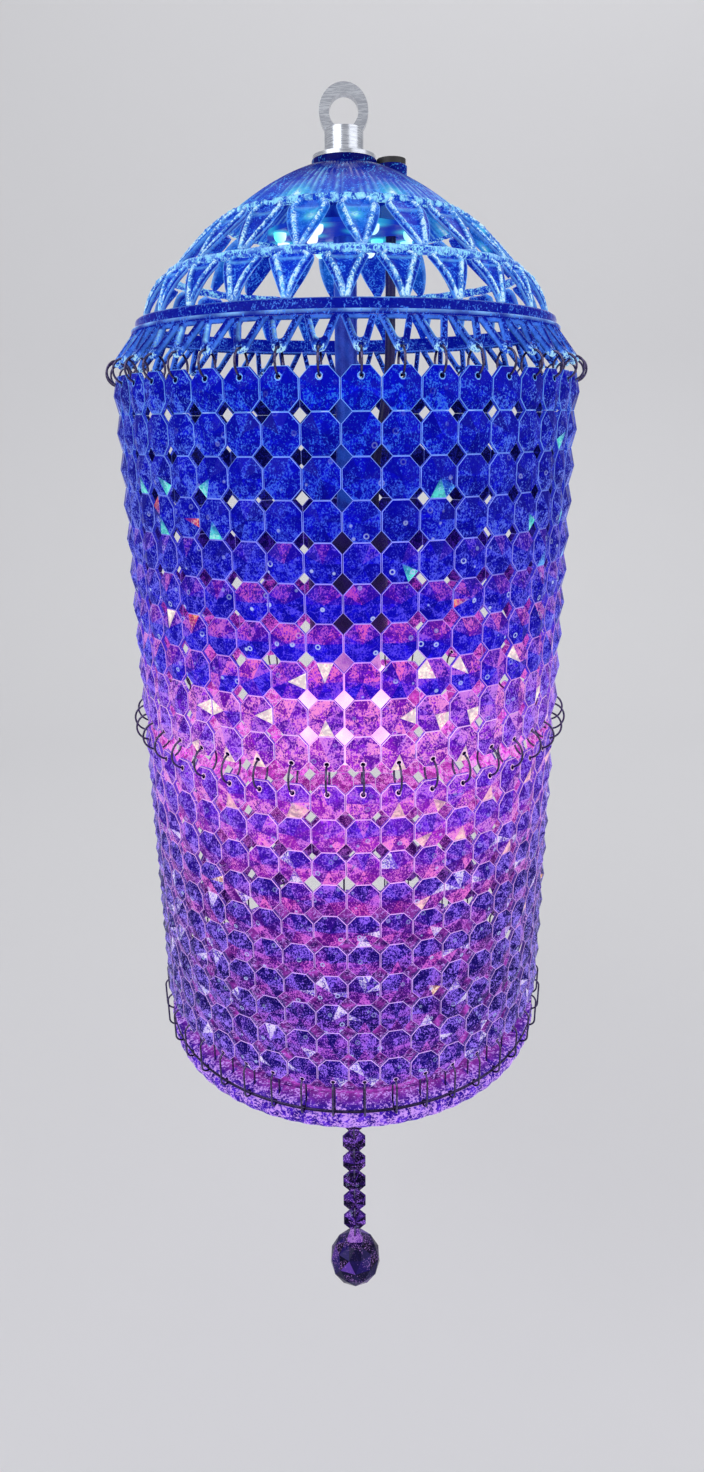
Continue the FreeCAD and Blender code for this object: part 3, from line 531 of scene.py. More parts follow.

# %% [markdown]
# ## Tones of the curtains
# The beads carry painted light: blue near the dome, pink and white round the bulb, and violet below. A
# single gradient could be laid over the curtain, but in the photo blue and pink facets stand side by side
# in one bead.
# So a bead has a blue state and a pink state, each with a ground tone and the tone of its sparks, and
# each facet lies somewhere between them. Row 0 is the top of the upper curtain and row 19 the bottom of
# the lower one, and the rows between those named go in even steps. The inner side of a bead has tones
# of its own, because the far curtain is seen through the gaps.

# %% Tone tables
# row: blue ground and spark, pink ground and spark, outline, inner side's ground and spark
ROW_TONES = {
    0: ((2, 10, 190), (40, 106, 236), (36, 8, 150), (110, 66, 210), (112, 166, 255), (5, 6, 62),
        (30, 40, 150)),
    3: ((5, 6, 182), (58, 88, 234), (56, 10, 156), (160, 60, 200), (134, 154, 255), (6, 6, 66),
        (30, 34, 150)),
    5: ((14, 6, 200), (80, 66, 242), (84, 12, 168), (196, 72, 190), (170, 152, 255), (12, 6, 84),
        (60, 30, 150)),
    7: ((34, 8, 216), (90, 56, 248), (124, 22, 196), (240, 112, 204), (230, 164, 255), (60, 16, 134),
        (186, 70, 196)),
    8: ((92, 20, 216), (140, 80, 250), (134, 24, 194), (250, 144, 222), (246, 186, 255), (110, 30, 166),
        (226, 100, 220)),
    9: ((106, 26, 224), (160, 90, 252), (150, 30, 200), (250, 154, 230), (255, 210, 255), (170, 44, 190),
        (250, 130, 230)),
    11: ((86, 26, 208), (154, 96, 248), (168, 38, 200), (250, 140, 222), (255, 194, 255), (250, 84, 232),
         (255, 196, 252)),
    13: ((40, 10, 152), (144, 98, 248), (126, 16, 152), (242, 112, 212), (240, 182, 255), (255, 90, 238),
         (255, 206, 255)),
    15: ((28, 8, 128), (144, 98, 248), (104, 11, 140), (226, 98, 208), (224, 176, 255), (190, 52, 184),
         (255, 170, 246)),
    17: ((22, 6, 112), (144, 100, 248), (78, 9, 124), (206, 94, 212), (214, 174, 255), (90, 22, 124),
         (196, 108, 208)),
    19: ((30, 8, 132), (154, 106, 252), (78, 14, 144), (210, 104, 234), (222, 178, 255), (46, 14, 92),
         (136, 74, 182)),
}
# row: share of pink, its pull to the top, its pull to the outer half, cover at the top and at the
# bottom of a bead, share of beads with a white-hot place, strength of painted glint lines and rings
ROW_SHARES = {
    0: (-1.0, 0.0, 0.0, 0.0, 0.38, 0.0, 0.05),
    3: (-0.6, 0.4, 0.0, 0.14, 0.34, 0.0, 0.5),
    4: (-0.25, 0.6, 0.1, 0.24, 0.32, 0.0, 0.8),
    5: (-0.05, 0.75, 0.2, 0.30, 0.28, 0.0, 0.9),
    6: (0.12, 0.85, 0.3, 0.38, 0.24, 0.24, 0.9),
    7: (0.5, 0.35, 0.5, 0.42, 0.30, 0.5, 0.7),
    8: (0.78, 0.12, 0.6, 0.46, 0.42, 0.5, 0.4),
    9: (0.84, -0.05, 0.55, 0.46, 0.46, 0.5, 0.3),
    10: (0.65, -0.4, 0.6, 0.34, 0.38, 0.55, 0.3),
    11: (0.55, -0.45, 0.5, 0.34, 0.38, 0.3, 0.5),
    12: (0.45, -0.5, 0.4, 0.34, 0.36, 0.1, 0.6),
    13: (0.4, -0.5, 0.35, 0.34, 0.36, 0.03, 0.7),
    15: (0.3, -0.4, 0.3, 0.34, 0.36, 0.0, 0.8),
    17: (0.2, -0.3, 0.3, 0.34, 0.36, 0.0, 0.8),
    19: (0.2, -0.2, 0.2, 0.36, 0.38, 0.0, 0.7),
}


def row_values(table, rows):
    """The columns of a table at each row, by linear steps between the rows named."""
    known = np.array(sorted(table), float)
    columns = np.array([np.array(table[int(k)], float).reshape(len(table[int(k)]), -1) for k in known])
    return [np.stack([np.interp(rows, known, columns[:, i, j]) for j in range(columns.shape[2])], axis=-1)
            for i in range(columns.shape[1])]


print("ground tone at row 8:", np.round(row_values(ROW_TONES, np.array([8.0]))[0]))

# %% [markdown]
# The share of pink is a sum: the row's own share, its pull to the top of the bead, its pull to the outer
# half, and a chance that neighbouring facets have in common. At the left and right sides of the lamp
# the beads are bluer and darker, as in the photo, because there the bulb isn't behind them.

# %% Ground of a facet
WEDGE_GROUPS = np.array((0, 1, 2, 2, 3, 3, 4, 5, 5, 0))
GROUP_CHANCE, FACE_CHANCE = 0.7, 0.3
SIDE_BLUE = 0.5
SIDE_DARK = 0.38
SIDE_SPARK = 0.35
SIDE_SPARK_TONE = rgb(178, 190, 255)


def ground(rows, turns, across, up, by_group, by_face):
    """The share of pink, the tone and the spark of each corner. across and up say where a wedge looks,
    and by_group and by_face are chances from -0.5 to 0.5."""
    blue, blue_spark, pink, pink_spark = [rgb(*c.T).T[:, None] for c in row_values(ROW_TONES, rows)[:4]]
    share, pull_up, pull_out = row_values(ROW_SHARES, rows)[:3]
    side = np.sin(turns)[:, None] ** 2
    amount = share + pull_up * up + pull_out * across * np.sin(turns)[:, None]
    amount = amount + GROUP_CHANCE * by_group + FACE_CHANCE * by_face
    amount = np.clip(amount - SIDE_BLUE * side * (share + 0.6), 0, 1)
    tones = blended(blue, pink, amount) * (1 + 0.5 * by_face + 0.3 * by_group)[..., None]
    sparks = blended(blended(blue_spark, pink_spark, amount), SIDE_SPARK_TONE, SIDE_SPARK * side)
    return amount, tones * (1 - SIDE_DARK * side)[..., None], sparks


print("a bead has", WEDGE_GROUPS.max() + 1, "groups of wedges")

# %% [markdown]
# Some facets flash. Round the bulb a bead may be white-hot over one or two wedges, and elsewhere a few
# facets are cyan, light blue, red, peach or pale violet. They are picked by chance with a fixed seed,
# in the rows where the photo has such flashes, so each run gives the same lamp.

# %% Flashes
WHITE_HOT = rgb(255, 244, 222) * 1.2
CREAM = rgb(255, 214, 204)
HOT_SPARK = rgb(248, 176, 214)
GLINT = rgb(130, 96, 226)
CYAN = rgb(92, 234, 218)
LIGHT_BLUE = rgb(50, 122, 236)
RED = rgb(226, 62, 112)
PEACH = rgb(246, 180, 130)
HOT_FROM, HOT_OVER = 6.2, 2.8
HOT_SPREAD = 0.45


def hot_places(wedge_angle, rows, turns, share):
    """Where a bead is white-hot: one or two wedges round an angle that the bead picks for itself.
    Over the bulb the angle lies near the top, beside it at the sides, and under it near the bottom. More
    beads have such a place at the front and the back, in line with the bulb, than at the sides."""
    sign = rng.choice([-1, 1], len(rows))
    down = np.clip((rows - HOT_FROM) / HOT_OVER, 0, 1)
    picked = sign * math.pi * down + rng.normal(0, HOT_SPREAD, len(rows))
    gap = np.abs((wedge_angle[None] - picked[:, None] + math.pi) % (2 * math.pi) - math.pi)
    often = share[:, 0] * (0.15 + 0.85 * np.cos(turns) ** 2)
    return (gap < HOT_SPREAD) & (rng.random(len(rows)) < often)[:, None]


def flashes(rows, up, hot, chance, off_centre):
    """For each kind of flash: how strongly each corner shows it, its tone, its spark, and its cover."""
    row = rows[:, None]
    low_blue = (row < 5) & (up < -0.3)
    hot_tone = blended(WHITE_HOT, CREAM, row - 8.6)
    return ((hot * (0.75 + 0.25 * off_centre), hot_tone, HOT_SPARK, 0.26 + 0.14 * np.clip(row - 9, 0, 1)),
            (((chance < 0.015) & low_blue) * off_centre, CYAN, rgb(170, 250, 240), 0.3),
            (((chance > 0.96) & low_blue) * off_centre, LIGHT_BLUE, rgb(120, 196, 255), 0.5),
            (((chance > 0.994) & (row > 1) & (row < 7) & (up > -0.5)) * off_centre, RED, PEACH, 0.4),
            (((chance > 0.95) & (row > 11)) * (0.4 + 0.6 * off_centre), GLINT, rgb(240, 230, 255), 0.55),
            (((chance < 0.004) & (row > 11)) * off_centre, PEACH, WHITE_HOT, 0.3))


print("white-hot is", np.round(WHITE_HOT, 2))

# %% [markdown]
# The share of pink holds for the front of a bead. Its back, its outline and the rim of a hole could be
# made with materials of their own, but one paint keeps the bead one piece, so they get their tones last.
# The outline and the rim of a hole are painted highlights: a pale line all round, the outline's fainter
# on the back, which is seen from across the lamp. The tube of a hole is painted dark as shade.

# %% Whole paint of the beads
# The tube of a hole is painted dark, as shade inside the hole.
TUBE_TONE = rgb(8, 6, 60)
SIDE_LINE_DARK = 0.46
SIDE_COVER = 0.04
FAR_LINE_ROWS = (0, 8, 11, 15, 19)
FAR_LINE_SHARES = (0.12, 0.4, 0.9, 0.7, 0.3)


def bead_paint(template, rows, turns):
    """Tones, cover, sparks and strength of painted glints of all corners of all beads, with the shape
    (beads, corners).
    """
    points, faces, kinds, wedges = template
    face = np.repeat(np.arange(len(faces)), [len(f) for f in faces])
    kind, wedge = kinds[face], wedges[face]
    corner = points[np.concatenate(faces)]
    middle = outline_points() + np.roll(outline_points(), -1, axis=0)
    middle = middle / np.hypot(*middle.T)[:, None]
    across, up = middle[wedge, 0][None], middle[wedge, 1][None]
    by_group = (rng.random((len(rows), 6)) - 0.5)[:, WEDGE_GROUPS[wedge]]
    by_face = (rng.random((len(rows), len(faces))) - 0.5)[:, face]
    chance = rng.random((len(rows), len(faces)))[:, face]
    amount, tones, sparks = ground(rows, turns, across, up, by_group, by_face)
    side = np.sin(turns)[:, None] ** 2
    blue, line, far, far_spark = [rgb(*row_values(ROW_TONES, rows)[i].T).T[:, None] for i in (0, 4, 5, 6)]
    top_cover, low_cover, hot_share, row_glint = row_values(ROW_SHARES, rows)[3:]
    cover = low_cover + (top_cover - low_cover) * (corner[:, 2] / BEAD_HEIGHT + 0.5)[None]
    cover = cover + SIDE_COVER * side + by_face * (0.25 + 0.3 * amount)
    hot = hot_places(np.arctan2(across, up)[0], rows, turns, hot_share)
    off_centre = (np.hypot(corner[:, 0], corner[:, 2]) > 0.1)[None] * 1.0
    line_tone = line * ((1.15 + 0.4 * by_face) * (1 - SIDE_LINE_DARK * side))[..., None]
    far_line = blended(far, line, np.interp(rows, FAR_LINE_ROWS, FAR_LINE_SHARES)[:, None])
    girdle = blended(blue, line, 0.1 + 0 * cover)
    parts = ((BACK, far * (1 + 0.8 * by_face)[..., None], far_spark, cover),
             (OUTLINE, line_tone, line_tone, 0), (RIM, line_tone, line_tone, 0),
             (BACK_OUTLINE, far_line, far_line, 0), (GIRDLE, girdle, line, 0.15),
             (TUBE, TUBE_TONE, TUBE_TONE, 0))
    layers = flashes(rows, up, hot, chance, off_centre)
    layers += tuple((kind[None] == k, *rest) for k, *rest in parts)
    for shown, tone, spark, covered in layers:
        shown = np.broadcast_to(shown, cover.shape) * 1.0
        tones, sparks = blended(tones, tone, shown), blended(sparks, spark, shown)
        cover = cover * (1 - shown) + covered * shown
    # The last channel, the strength of painted glints, is full on front facets that don't look up.
    return tones, cover, sparks, row_glint * np.where(up < 0.2, 1.0, 0.4) * (kind == FACET)[None]


print(TUBE + 1, "kinds of faces are painted")

# %% [markdown]
# ## The two curtains
# Forty-four strands hang side by side, ten beads in each, and a second curtain of the same beads hangs
# from the first. An Array modifier could turn one strand round the axis, but then all strands would
# share one set of tones. So the bead's points are copied to every place as one array of numbers, and
# each copy is painted by its row and its turn.

# %% Curtains
STRANDS = 44
ROWS = 10
STRAND_TURN = 2.9
SIDE_GAP = 0.15
ROW_GAP = 0.1
HALF_STEP = math.pi / STRANDS
STRAND_TURNS = math.radians(STRAND_TURN) + 2 * HALF_STEP * np.arange(STRANDS)
STRAND_RADIUS = (BEAD_WIDTH + SIDE_GAP) / 2 / math.tan(HALF_STEP) + BEAD_EDGE / 2
PITCH = BEAD_HEIGHT + ROW_GAP


def make_rows(node, drilled_wedges, top, first_row, row_list):
    """All beads of some rows of a curtain, with their centres half a bead and whole pitches below top."""
    template = bead_template(drilled_wedges)
    points, faces = template[:2]
    rows, turns = [g.ravel() for g in np.meshgrid(np.array(row_list, float), STRAND_TURNS, indexing="ij")]
    placed = copies(points, turns, STRAND_RADIUS, top - BEAD_HEIGHT / 2 - rows * PITCH)
    piece = new_piece("crystal_" + node, placed, many(faces, len(rows), len(points)), "root", node,
                      "crystal", crystal)
    paint(piece, *bead_paint(template, rows + first_row, turns), True)


for curtain, first_row in (("upper", 0), ("lower", ROWS)):
    top = span(curtain + "_curtain_first_beads")[1][2]
    make_rows(curtain + "_curtain_first_beads", (TOP_WEDGE,), top, first_row, [0])
    make_rows(curtain + "_curtain_beads", (), top, first_row, range(1, ROWS - 1))
    make_rows(curtain + "_curtain_last_beads", (BOTTOM_WEDGE,), top, first_row, [ROWS - 1])

# %% [markdown]
# ## Holes and rings
# The next pieces are sections carried round the axis, and a few of them have a hole. A hole through a
# curved wall is hard to build from points, so here the Boolean modifier cuts it with a cylinder. Its
# result is read once as a plain mesh, and the blank and the cutter are thrown away.

# %% Drilled, joined and carried round
CUTTER_SIDES = 20
CUTTER_LENGTH = 40


def drilled(points, faces, centre, direction, radius):
    """The mesh with a round hole cut through it at a centre, along Y or Z."""
    mesh = bpy.data.meshes.new("blank")
    mesh.from_pydata(np.asarray(points).tolist(), [], [list(map(int, f)) for f in faces])
    blank = bpy.data.objects.new("blank", mesh)
    bpy.context.scene.collection.objects.link(blank)
    bpy.ops.mesh.primitive_cylinder_add(vertices=CUTTER_SIDES, radius=radius, depth=CUTTER_LENGTH,
                                        location=centre)
    cutter = bpy.context.object
    cutter.rotation_euler = (math.pi / 2, 0, 0) if direction == "Y" else (0, 0, 0)
    cut = blank.modifiers.new("hole", "BOOLEAN")
    cut.object = cutter
    cut.solver = "EXACT"
    bpy.context.view_layer.update()
    result = bpy.data.meshes.new_from_object(blank.evaluated_get(bpy.context.evaluated_depsgraph_get()))
    new_points = np.array([v.co for v in result.vertices])
    new_faces = [list(p.vertices) for p in result.polygons]
    bpy.data.objects.remove(cutter)
    bpy.data.objects.remove(blank)
    return new_points, new_faces


def joined(points, faces, more_points, more_faces):
    """Two meshes as one."""
    moved_up = [[v + len(points) for v in f] for f in more_faces]
    return np.concatenate([points, more_points]), faces + moved_up


def closed_ring(rr, zz, tt):
    """Points and outward faces of a closed section, from its grids of radius, height and turn."""
    points = polar(rr, zz, tt).reshape(-1, 3)
    return points, outwards(points, grid_faces(*rr.shape, True, True))


plain_ring = closed_ring(*carried_round([9, 10, 10], [0, 0, 1], full_turn(8)))
print("a plain ring has", len(plain_ring[1]), "faces")

# %% [markdown]
# ## Dome cap
# The cap is a shallow moulded bell with fine flutes that run down to its rim. It could be a Screw
# modifier on a curve, but the flutes have to follow the turn. So its profile is the CAD cap's curve,
# carried round the axis on a grid, and the flutes are a cosine of the turn cut into the height.

# %% Cap shape
STEM_HOLE = 5.05
CAP_WALL = 2.6
CAP_RISE = 21.5
CAP_STRAIGHT = 0.42
HUB_RADIUS = 13.5
FLUTES = 96
FLUTE_DEPTH = 0.55
FLUTE_FADE = 12
GLAND_HOLE = 4.7
BOSS_RADIUS = 6.6
BOSS_BELOW_GLAND = 2.2
BOSS_EDGE = 0.4

cap_high = span("dome_cap")[1]
cap_top, cap_rim = cap_high[2], cap_high[0]
gland_low, gland_high = span("inlet_gland")
gland_x = (gland_low[0] + gland_high[0]) / 2


def cap_height(r):
    """Outer height at a radius: the fall is part straight slope and part square of the radius."""
    share = (r - STEM_HOLE) / (cap_rim - STEM_HOLE)
    return cap_top - CAP_RISE * (CAP_STRAIGHT * share + (1 - CAP_STRAIGHT) * share ** 2)


def cap_shell():
    """The cap's closed profile round the axis: hub and slope outside, then the wall's inner side."""
    slope = np.linspace(HUB_RADIUS, cap_rim, 24)
    under = slope[::-4]
    outer_r = np.concatenate([[STEM_HOLE, HUB_RADIUS - 0.2, HUB_RADIUS], slope])
    outer_z = np.concatenate([[cap_top, cap_top, cap_top - 0.3], cap_height(slope)])
    inner_z = np.append(cap_height(under), cap_height(HUB_RADIUS)) - CAP_WALL
    r = np.concatenate([outer_r, under, [STEM_HOLE]])
    rr, zz, tt = carried_round(r, np.concatenate([outer_z, inner_z]), full_turn(FLUTES * 4))
    outside = (np.arange(len(r)) < len(outer_r))[:, None]
    fade = np.clip((rr - HUB_RADIUS - 1) / FLUTE_FADE, 0, 1)
    return closed_ring(rr, zz - outside * fade * FLUTE_DEPTH * (0.5 - 0.5 * np.cos(FLUTES * tt)), tt)


def gland_boss():
    """The short tube that the cable gland sits in, round the gland's own axis."""
    low, high = cap_height(gland_x) - CAP_WALL, gland_high[2] - BOSS_BELOW_GLAND
    r = (GLAND_HOLE, BOSS_RADIUS - BOSS_EDGE, BOSS_RADIUS, BOSS_RADIUS, GLAND_HOLE)
    z = (high, high, high - BOSS_EDGE, low, low)
    points, faces = closed_ring(*carried_round(r, z, full_turn(32)))
    return points + [gland_x, 0, 0], faces


print("cap rim", round(float(cap_rim), 1), "mm from the axis")

# %% [markdown]
# Light from the small lamps under the cap runs along some of its flutes and ends in a star over each
# lamp. Each flute gets its own brightness and its own start, because even stripes would look printed.

# %% Cap
DEEP_BLUE = rgb(2, 7, 96)
MID_BLUE = rgb(7, 40, 184)
RIM_BLUE = rgb(16, 84, 214)
PALE_CYAN = rgb(150, 228, 255)
LAMP_CYAN = rgb(60, 232, 240)
STAR_WHITE = rgb(232, 255, 252)
LAMPS_ROUND = 8
FIRST_LAMP_TURN = 22.5
LAMP_TURNS = np.radians(FIRST_LAMP_TURN + 360 / LAMPS_ROUND * np.arange(LAMPS_ROUND))
CAP_STAR_RADIUS = 48


def cap_paint(points):
    """Painted light: dark at the hub and bright at the rim, with streaks on some flutes and a star over
    each lamp.
    """
    r, turn = np.hypot(points[:, 0], points[:, 1]), turn_of(points)
    flute = np.floor(turn / (2 * math.pi) * FLUTES).astype(int) % FLUTES
    crest = np.cos(FLUTES * turn) * 0.5 + 0.5
    down = np.clip((r - HUB_RADIUS) / (cap_rim - HUB_RADIUS), 0, 1)
    start = rng.random(FLUTES)[flute]
    bright = rng.random(FLUTES)[flute] ** 1.5
    tones = blended(blended(DEEP_BLUE, MID_BLUE, down * 1.5 - 0.2), RIM_BLUE, (down - 0.6) * 1.5)
    streak = bright * crest ** 1.5 * np.clip((down - 0.25 - 0.6 * start) * 5, 0, 1)
    tones = blended(tones, PALE_CYAN, streak * 0.65)
    off = np.min(np.abs((turn[:, None] - LAMP_TURNS + math.pi) % (2 * math.pi) - math.pi), axis=1)
    out = r - CAP_STAR_RADIUS
    tones = blended(tones, LAMP_CYAN, bell(off, 0.10) * bell(out, 5.0) * 0.7)
    tones = blended(tones, STAR_WHITE, bell(off * r, 1.5) * bell(out, 2.0))
    return tones, 0.02 + 0.2 * down ** 2, rgb(70, 160, 250)


cap_points, cap_faces = drilled(*cap_shell(), (gland_x, 0, cap_top), "Z", GLAND_HOLE)
cap_points, cap_faces = joined(cap_points, cap_faces, *gland_boss())
cap = new_piece("fluted_cap", cap_points, cap_faces, "root", "dome_cap", "dome_glass", dome_glass, 40)
paint(cap, *cap_paint(cap_points))

# %% [markdown]
# ## Rings of the dome
# Three moulded rings hold the tiers. The cap ring looks beaded, the middle ring is wavy, and the flange
# is a glossy band with a lip. A torus from Blender's menu would be even all round. Here the first two
# are a torus whose wire radius changes with the turn, and the flange is a section carried round.


# %% Two wire rings
def wire_ring(node):
    """Radius, height and wire radius of a CAD ring with a round section."""
    low, high = span(node)
    wire = (high[2] - low[2]) / 2
    return high[0] - wire, (high[2] + low[2]) / 2, wire


def make_wire_ring(name, node, around, depth, waves, tones_of):
    """A torus whose wire radius is the CAD ring's times 1 - depth + depth * sin(waves * turn)."""
    radius, height, wire = wire_ring(node)
    tt, ss = np.meshgrid(full_turn(around), full_turn(12), indexing="ij")
    thick = wire * (1 - depth + depth * np.sin(waves * tt))
    points, faces = closed_ring(radius + thick * np.cos(ss), height + thick * np.sin(ss), tt)
    piece = new_piece(name, points, faces, "root", node, "dome_glass", dome_glass, 50)
    tones, cover = tones_of(tt.ravel(), ss.ravel())
    paint(piece, tones, cover, PALE_CYAN)


def beaded_tones(turns, section):
    """Painted highlights: pale dashes of uneven length along the front of the ring, with blue gaps."""
    dash = np.sin(60 * turns + 1.5 * np.sin(7 * turns)) * 2.5 + 0.6 + 0.9 * np.sin(11 * turns)
    dash = np.clip(dash, 0, 1)
    line = bell(np.sin(section - 0.15), 0.55) * (np.cos(section) > 0)
    return blended(rgb(14, 70, 200), rgb(176, 242, 255), dash * line), 0.3 + 0.2 * dash


def wavy_tones(turns, section):
    """Blue with painted highlights: a pale line along its top and a fainter one under it, both in waves.
    """
    wave = 0.25 * np.sin(20 * turns) + 0.15 * np.sin(33 * turns + 2)
    line = bell(np.sin(section - 0.8 - wave), 0.35) + 0.6 * bell(np.sin(section + 0.3 + wave), 0.2)
    return blended(rgb(20, 66, 204), rgb(156, 212, 255), line * (np.cos(section) > -0.2)), 0.4


make_wire_ring("beaded_cap_ring", "cap_ring", 360, 0.07, 60, beaded_tones)
make_wire_ring("wavy_middle_ring", "middle_ring", 400, 0.08, 40, wavy_tones)

# %% Flange
FLANGE_HEIGHT_IN_WIRES = 2.9
# out and up from the middle of the flange's crest, in wire radii: band, step, lip, underside
FLANGE_SECTION = np.array([
    (-1, 0.6), (-0.85, 0.85), (-0.5, 1), (0.5, 1), (0.85, 0.75), (1, 0.3), (1, -0.7), (1.15, -0.9),
    (1.8, -1.0), (2, -1.2), (2, -1.75), (1.85, -1.9), (0.4, -1.9), (-0.2, -1.6), (-1, -1),
])
flange_low, flange_high = span("flange_ring")
flange_wire = (flange_high[2] - flange_low[2]) / FLANGE_HEIGHT_IN_WIRES
flange = (flange_high[0] - 2 * flange_wire, flange_high[2] - flange_wire, flange_wire)


def make_flange():
    """The flange's section carried round the axis, with pale dashes of painted highlight on its band and
    its lip.
    """
    turns = full_turn(360)
    section = FLANGE_SECTION * flange_wire + flange[:2]
    points, faces = closed_ring(*carried_round(section[:, 0], section[:, 1], turns))
    piece = new_piece("glossy_flange", points, faces, "root", "flange_ring", "dome_glass", dome_glass, 40)
    pale = np.zeros((len(section), len(turns)))
    pale[3] = 0.25 + 0.75 * np.clip(np.sin(9 * turns) * np.sin(4 * turns + 1), 0, 1) ** 2
    pale[8:10] = 0.5 + 0.45 * np.sin(31 * turns) * np.sin(6 * turns + 1)
    paint(piece, blended(rgb(6, 20, 150), rgb(140, 196, 255), pale.ravel()), 0.14, rgb(70, 130, 240))


make_flange()

# %% [markdown]
# ## Leaf petals
# Twenty leaves above and twenty-six below, each a moulded shield with two thick bright ribs that run
# together at its tip. One could sculpt a leaf and copy it, but then a change of its ribs or its width
# means sculpting again. So a leaf is a grid: one way runs down the leaf, the other goes round its
# section, first over the front and then back under it. Half width, ribs and cup are formulas of those.

# %% Leaf shape
PETAL_GAP = 0.25
PETAL_BACK = 0.9
RIB_HEIGHT = 1.5
RIB_SHARE = 0.6
RIB_WIDTH = 1.15
TIP_WIDTH = 3.4
# steps from a leaf's middle to its edge, closer together over the rib
FRONT_SHARES = (0, 0.15, 0.3, 0.4, 0.46, 0.51, 0.55, 0.58, 0.62, 0.65, 0.69, 0.74, 0.8, 0.87, 0.92,
                0.96, 1)


def leaf_tones(v, from_edge, rib, top_line, in_pane, is_back):
    """Painted light on a leaf: pale speckled ribs with a dark line of painted shade beside them, a thin
    bright outline as a highlight, a bright line at the shoulder, a bright tip and a clear blue pane.
    """
    from_rib = np.sqrt(-np.log(np.clip(rib, 1e-9, 1)))
    ridge = np.clip(rib * 1.6 - 0.45, 0, 1)
    tones = np.where(in_pane[..., None], rgb(9, 52, 196), rgb(12, 46, 184))
    tones = blended(tones, rgb(6, 30, 164), bell(from_rib - 1.25, 0.3) * 0.8)
    tones = blended(tones, rgb(104, 182, 246), ridge * 0.95)
    tones = blended(tones, rgb(128, 196, 255), bell(from_edge, 0.28) * 0.8)
    tones = blended(tones, rgb(120, 204, 255), top_line * 0.7)
    tones = blended(tones, rgb(184, 236, 255), np.clip((v - 0.93) * 10, 0, 1) * 0.6)
    tones = np.where(is_back[..., None], rgb(8, 34, 170), tones)
    return tones, np.where(is_back, 0.25, 0.24 + 0.26 * ridge)


def leaf_grid(top_r, top_z, low_r, low_z, top_width, bulge, shoulder, power, ribs):
    """One leaf at the -Y side. s runs across from -1 to 1, v runs down from 0 to 1.
    Half width: 1 minus v to a power, drawn in over the shoulder. The rib stands at a share of the half
    width that falls down the leaf. Height over the leaf's line: two ribs as bells, a cup between them
    and a bulge of 4 v (1 - v)."""
    front = np.array([-s for s in FRONT_SHARES[:0:-1]] + list(FRONT_SHARES))
    s = np.concatenate([front, np.linspace(1, -1, 9)[1:-1]])
    is_back = (np.arange(len(s)) >= len(front))[None]
    v = np.concatenate([[0, 0.03, 0.07], np.linspace(0.12, 1, 20)])
    vv, ss = np.meshgrid(v, s, indexing="ij")
    place = ribs[0] + (ribs[1] - ribs[0]) * vv
    size = np.abs(ss)
    in_pane = size < RIB_SHARE
    past_rib = place + (size - RIB_SHARE) / (1 - RIB_SHARE) * (1 - place)
    u = np.where(is_back, size, np.where(in_pane, size / RIB_SHARE * place, past_rib))
    left = np.clip((shoulder - vv) / shoulder, 0, 1)
    half = (TIP_WIDTH + (top_width - TIP_WIDTH) * (1 - vv ** power)) / 2 * (1 - 0.4 * left ** 2)
    rib = bell((u - place) * half, RIB_WIDTH)
    cup = -0.25 * (1 - (size / RIB_SHARE) ** 2) * in_pane
    top_line = bell(vv - shoulder, 0.03) * in_pane
    out = (RIB_HEIGHT - 0.3) * rib * (1 - 0.5 * vv) + 0.3 + cup + 0.5 * top_line
    out = np.where(is_back, -PETAL_BACK - 0.5 * (1 - u ** 2), out)
    lift = out + bulge * 4 * vv * (1 - vv)
    run, drop = low_r - top_r, top_z - low_z
    length = math.hypot(run, drop)
    r = top_r + run * vv + drop / length * lift
    z = top_z - drop * vv + run / length * lift
    points = np.stack([np.sign(ss) * u * half, -r, z], axis=2).reshape(-1, 3)
    rows, columns = vv.shape
    faces = grid_faces(rows, columns, False, True).tolist()
    faces += [list(range(columns))[::-1], list(range((rows - 1) * columns, rows * columns))]
    tones, cover = leaf_tones(vv, (1 - u) * half, rib, top_line, in_pane, is_back)
    return points, outwards(points, faces), tones.reshape(-1, 3), cover.ravel()


print("a leaf is", 2 * len(FRONT_SHARES) - 1, "points wide over its front")

# %% [markdown]
# A tier turns one leaf round the axis, from the ring above to the ring below. The upper leaves near a
# small lamp carry its cyan glow and a white star, which is painted by the distance to the lamp's place.

# %% Petal tiers
STAR_LEAVES = (0, 3, 5, 8, 10, 13, 16, 19)
STAR_DOWN = 0.4
# tone, reach in millimetres and strength, from the halo to the middle
STAR_LOOKS = ((rgb(26, 132, 220), 9.0, 0.7), (rgb(90, 244, 236), 2.6, 0.9),
              (rgb(240, 255, 250), 1.3, 1.0))


def star_gap(placed, upper, spread, drop, angles):
    """The distance of each point to the nearest star, part way down a leaf and a bit off its middle."""
    turns = angles[list(STAR_LEAVES)] + 0.03 * np.tile([-1, 1], len(STAR_LEAVES) // 2)
    r = np.full(len(turns), upper[0] + STAR_DOWN * spread)
    star = polar(r, np.full(len(turns), upper[1] - STAR_DOWN * drop), turns)
    return np.linalg.norm(placed[:, :, None] - star[None, None], axis=3).min(2)


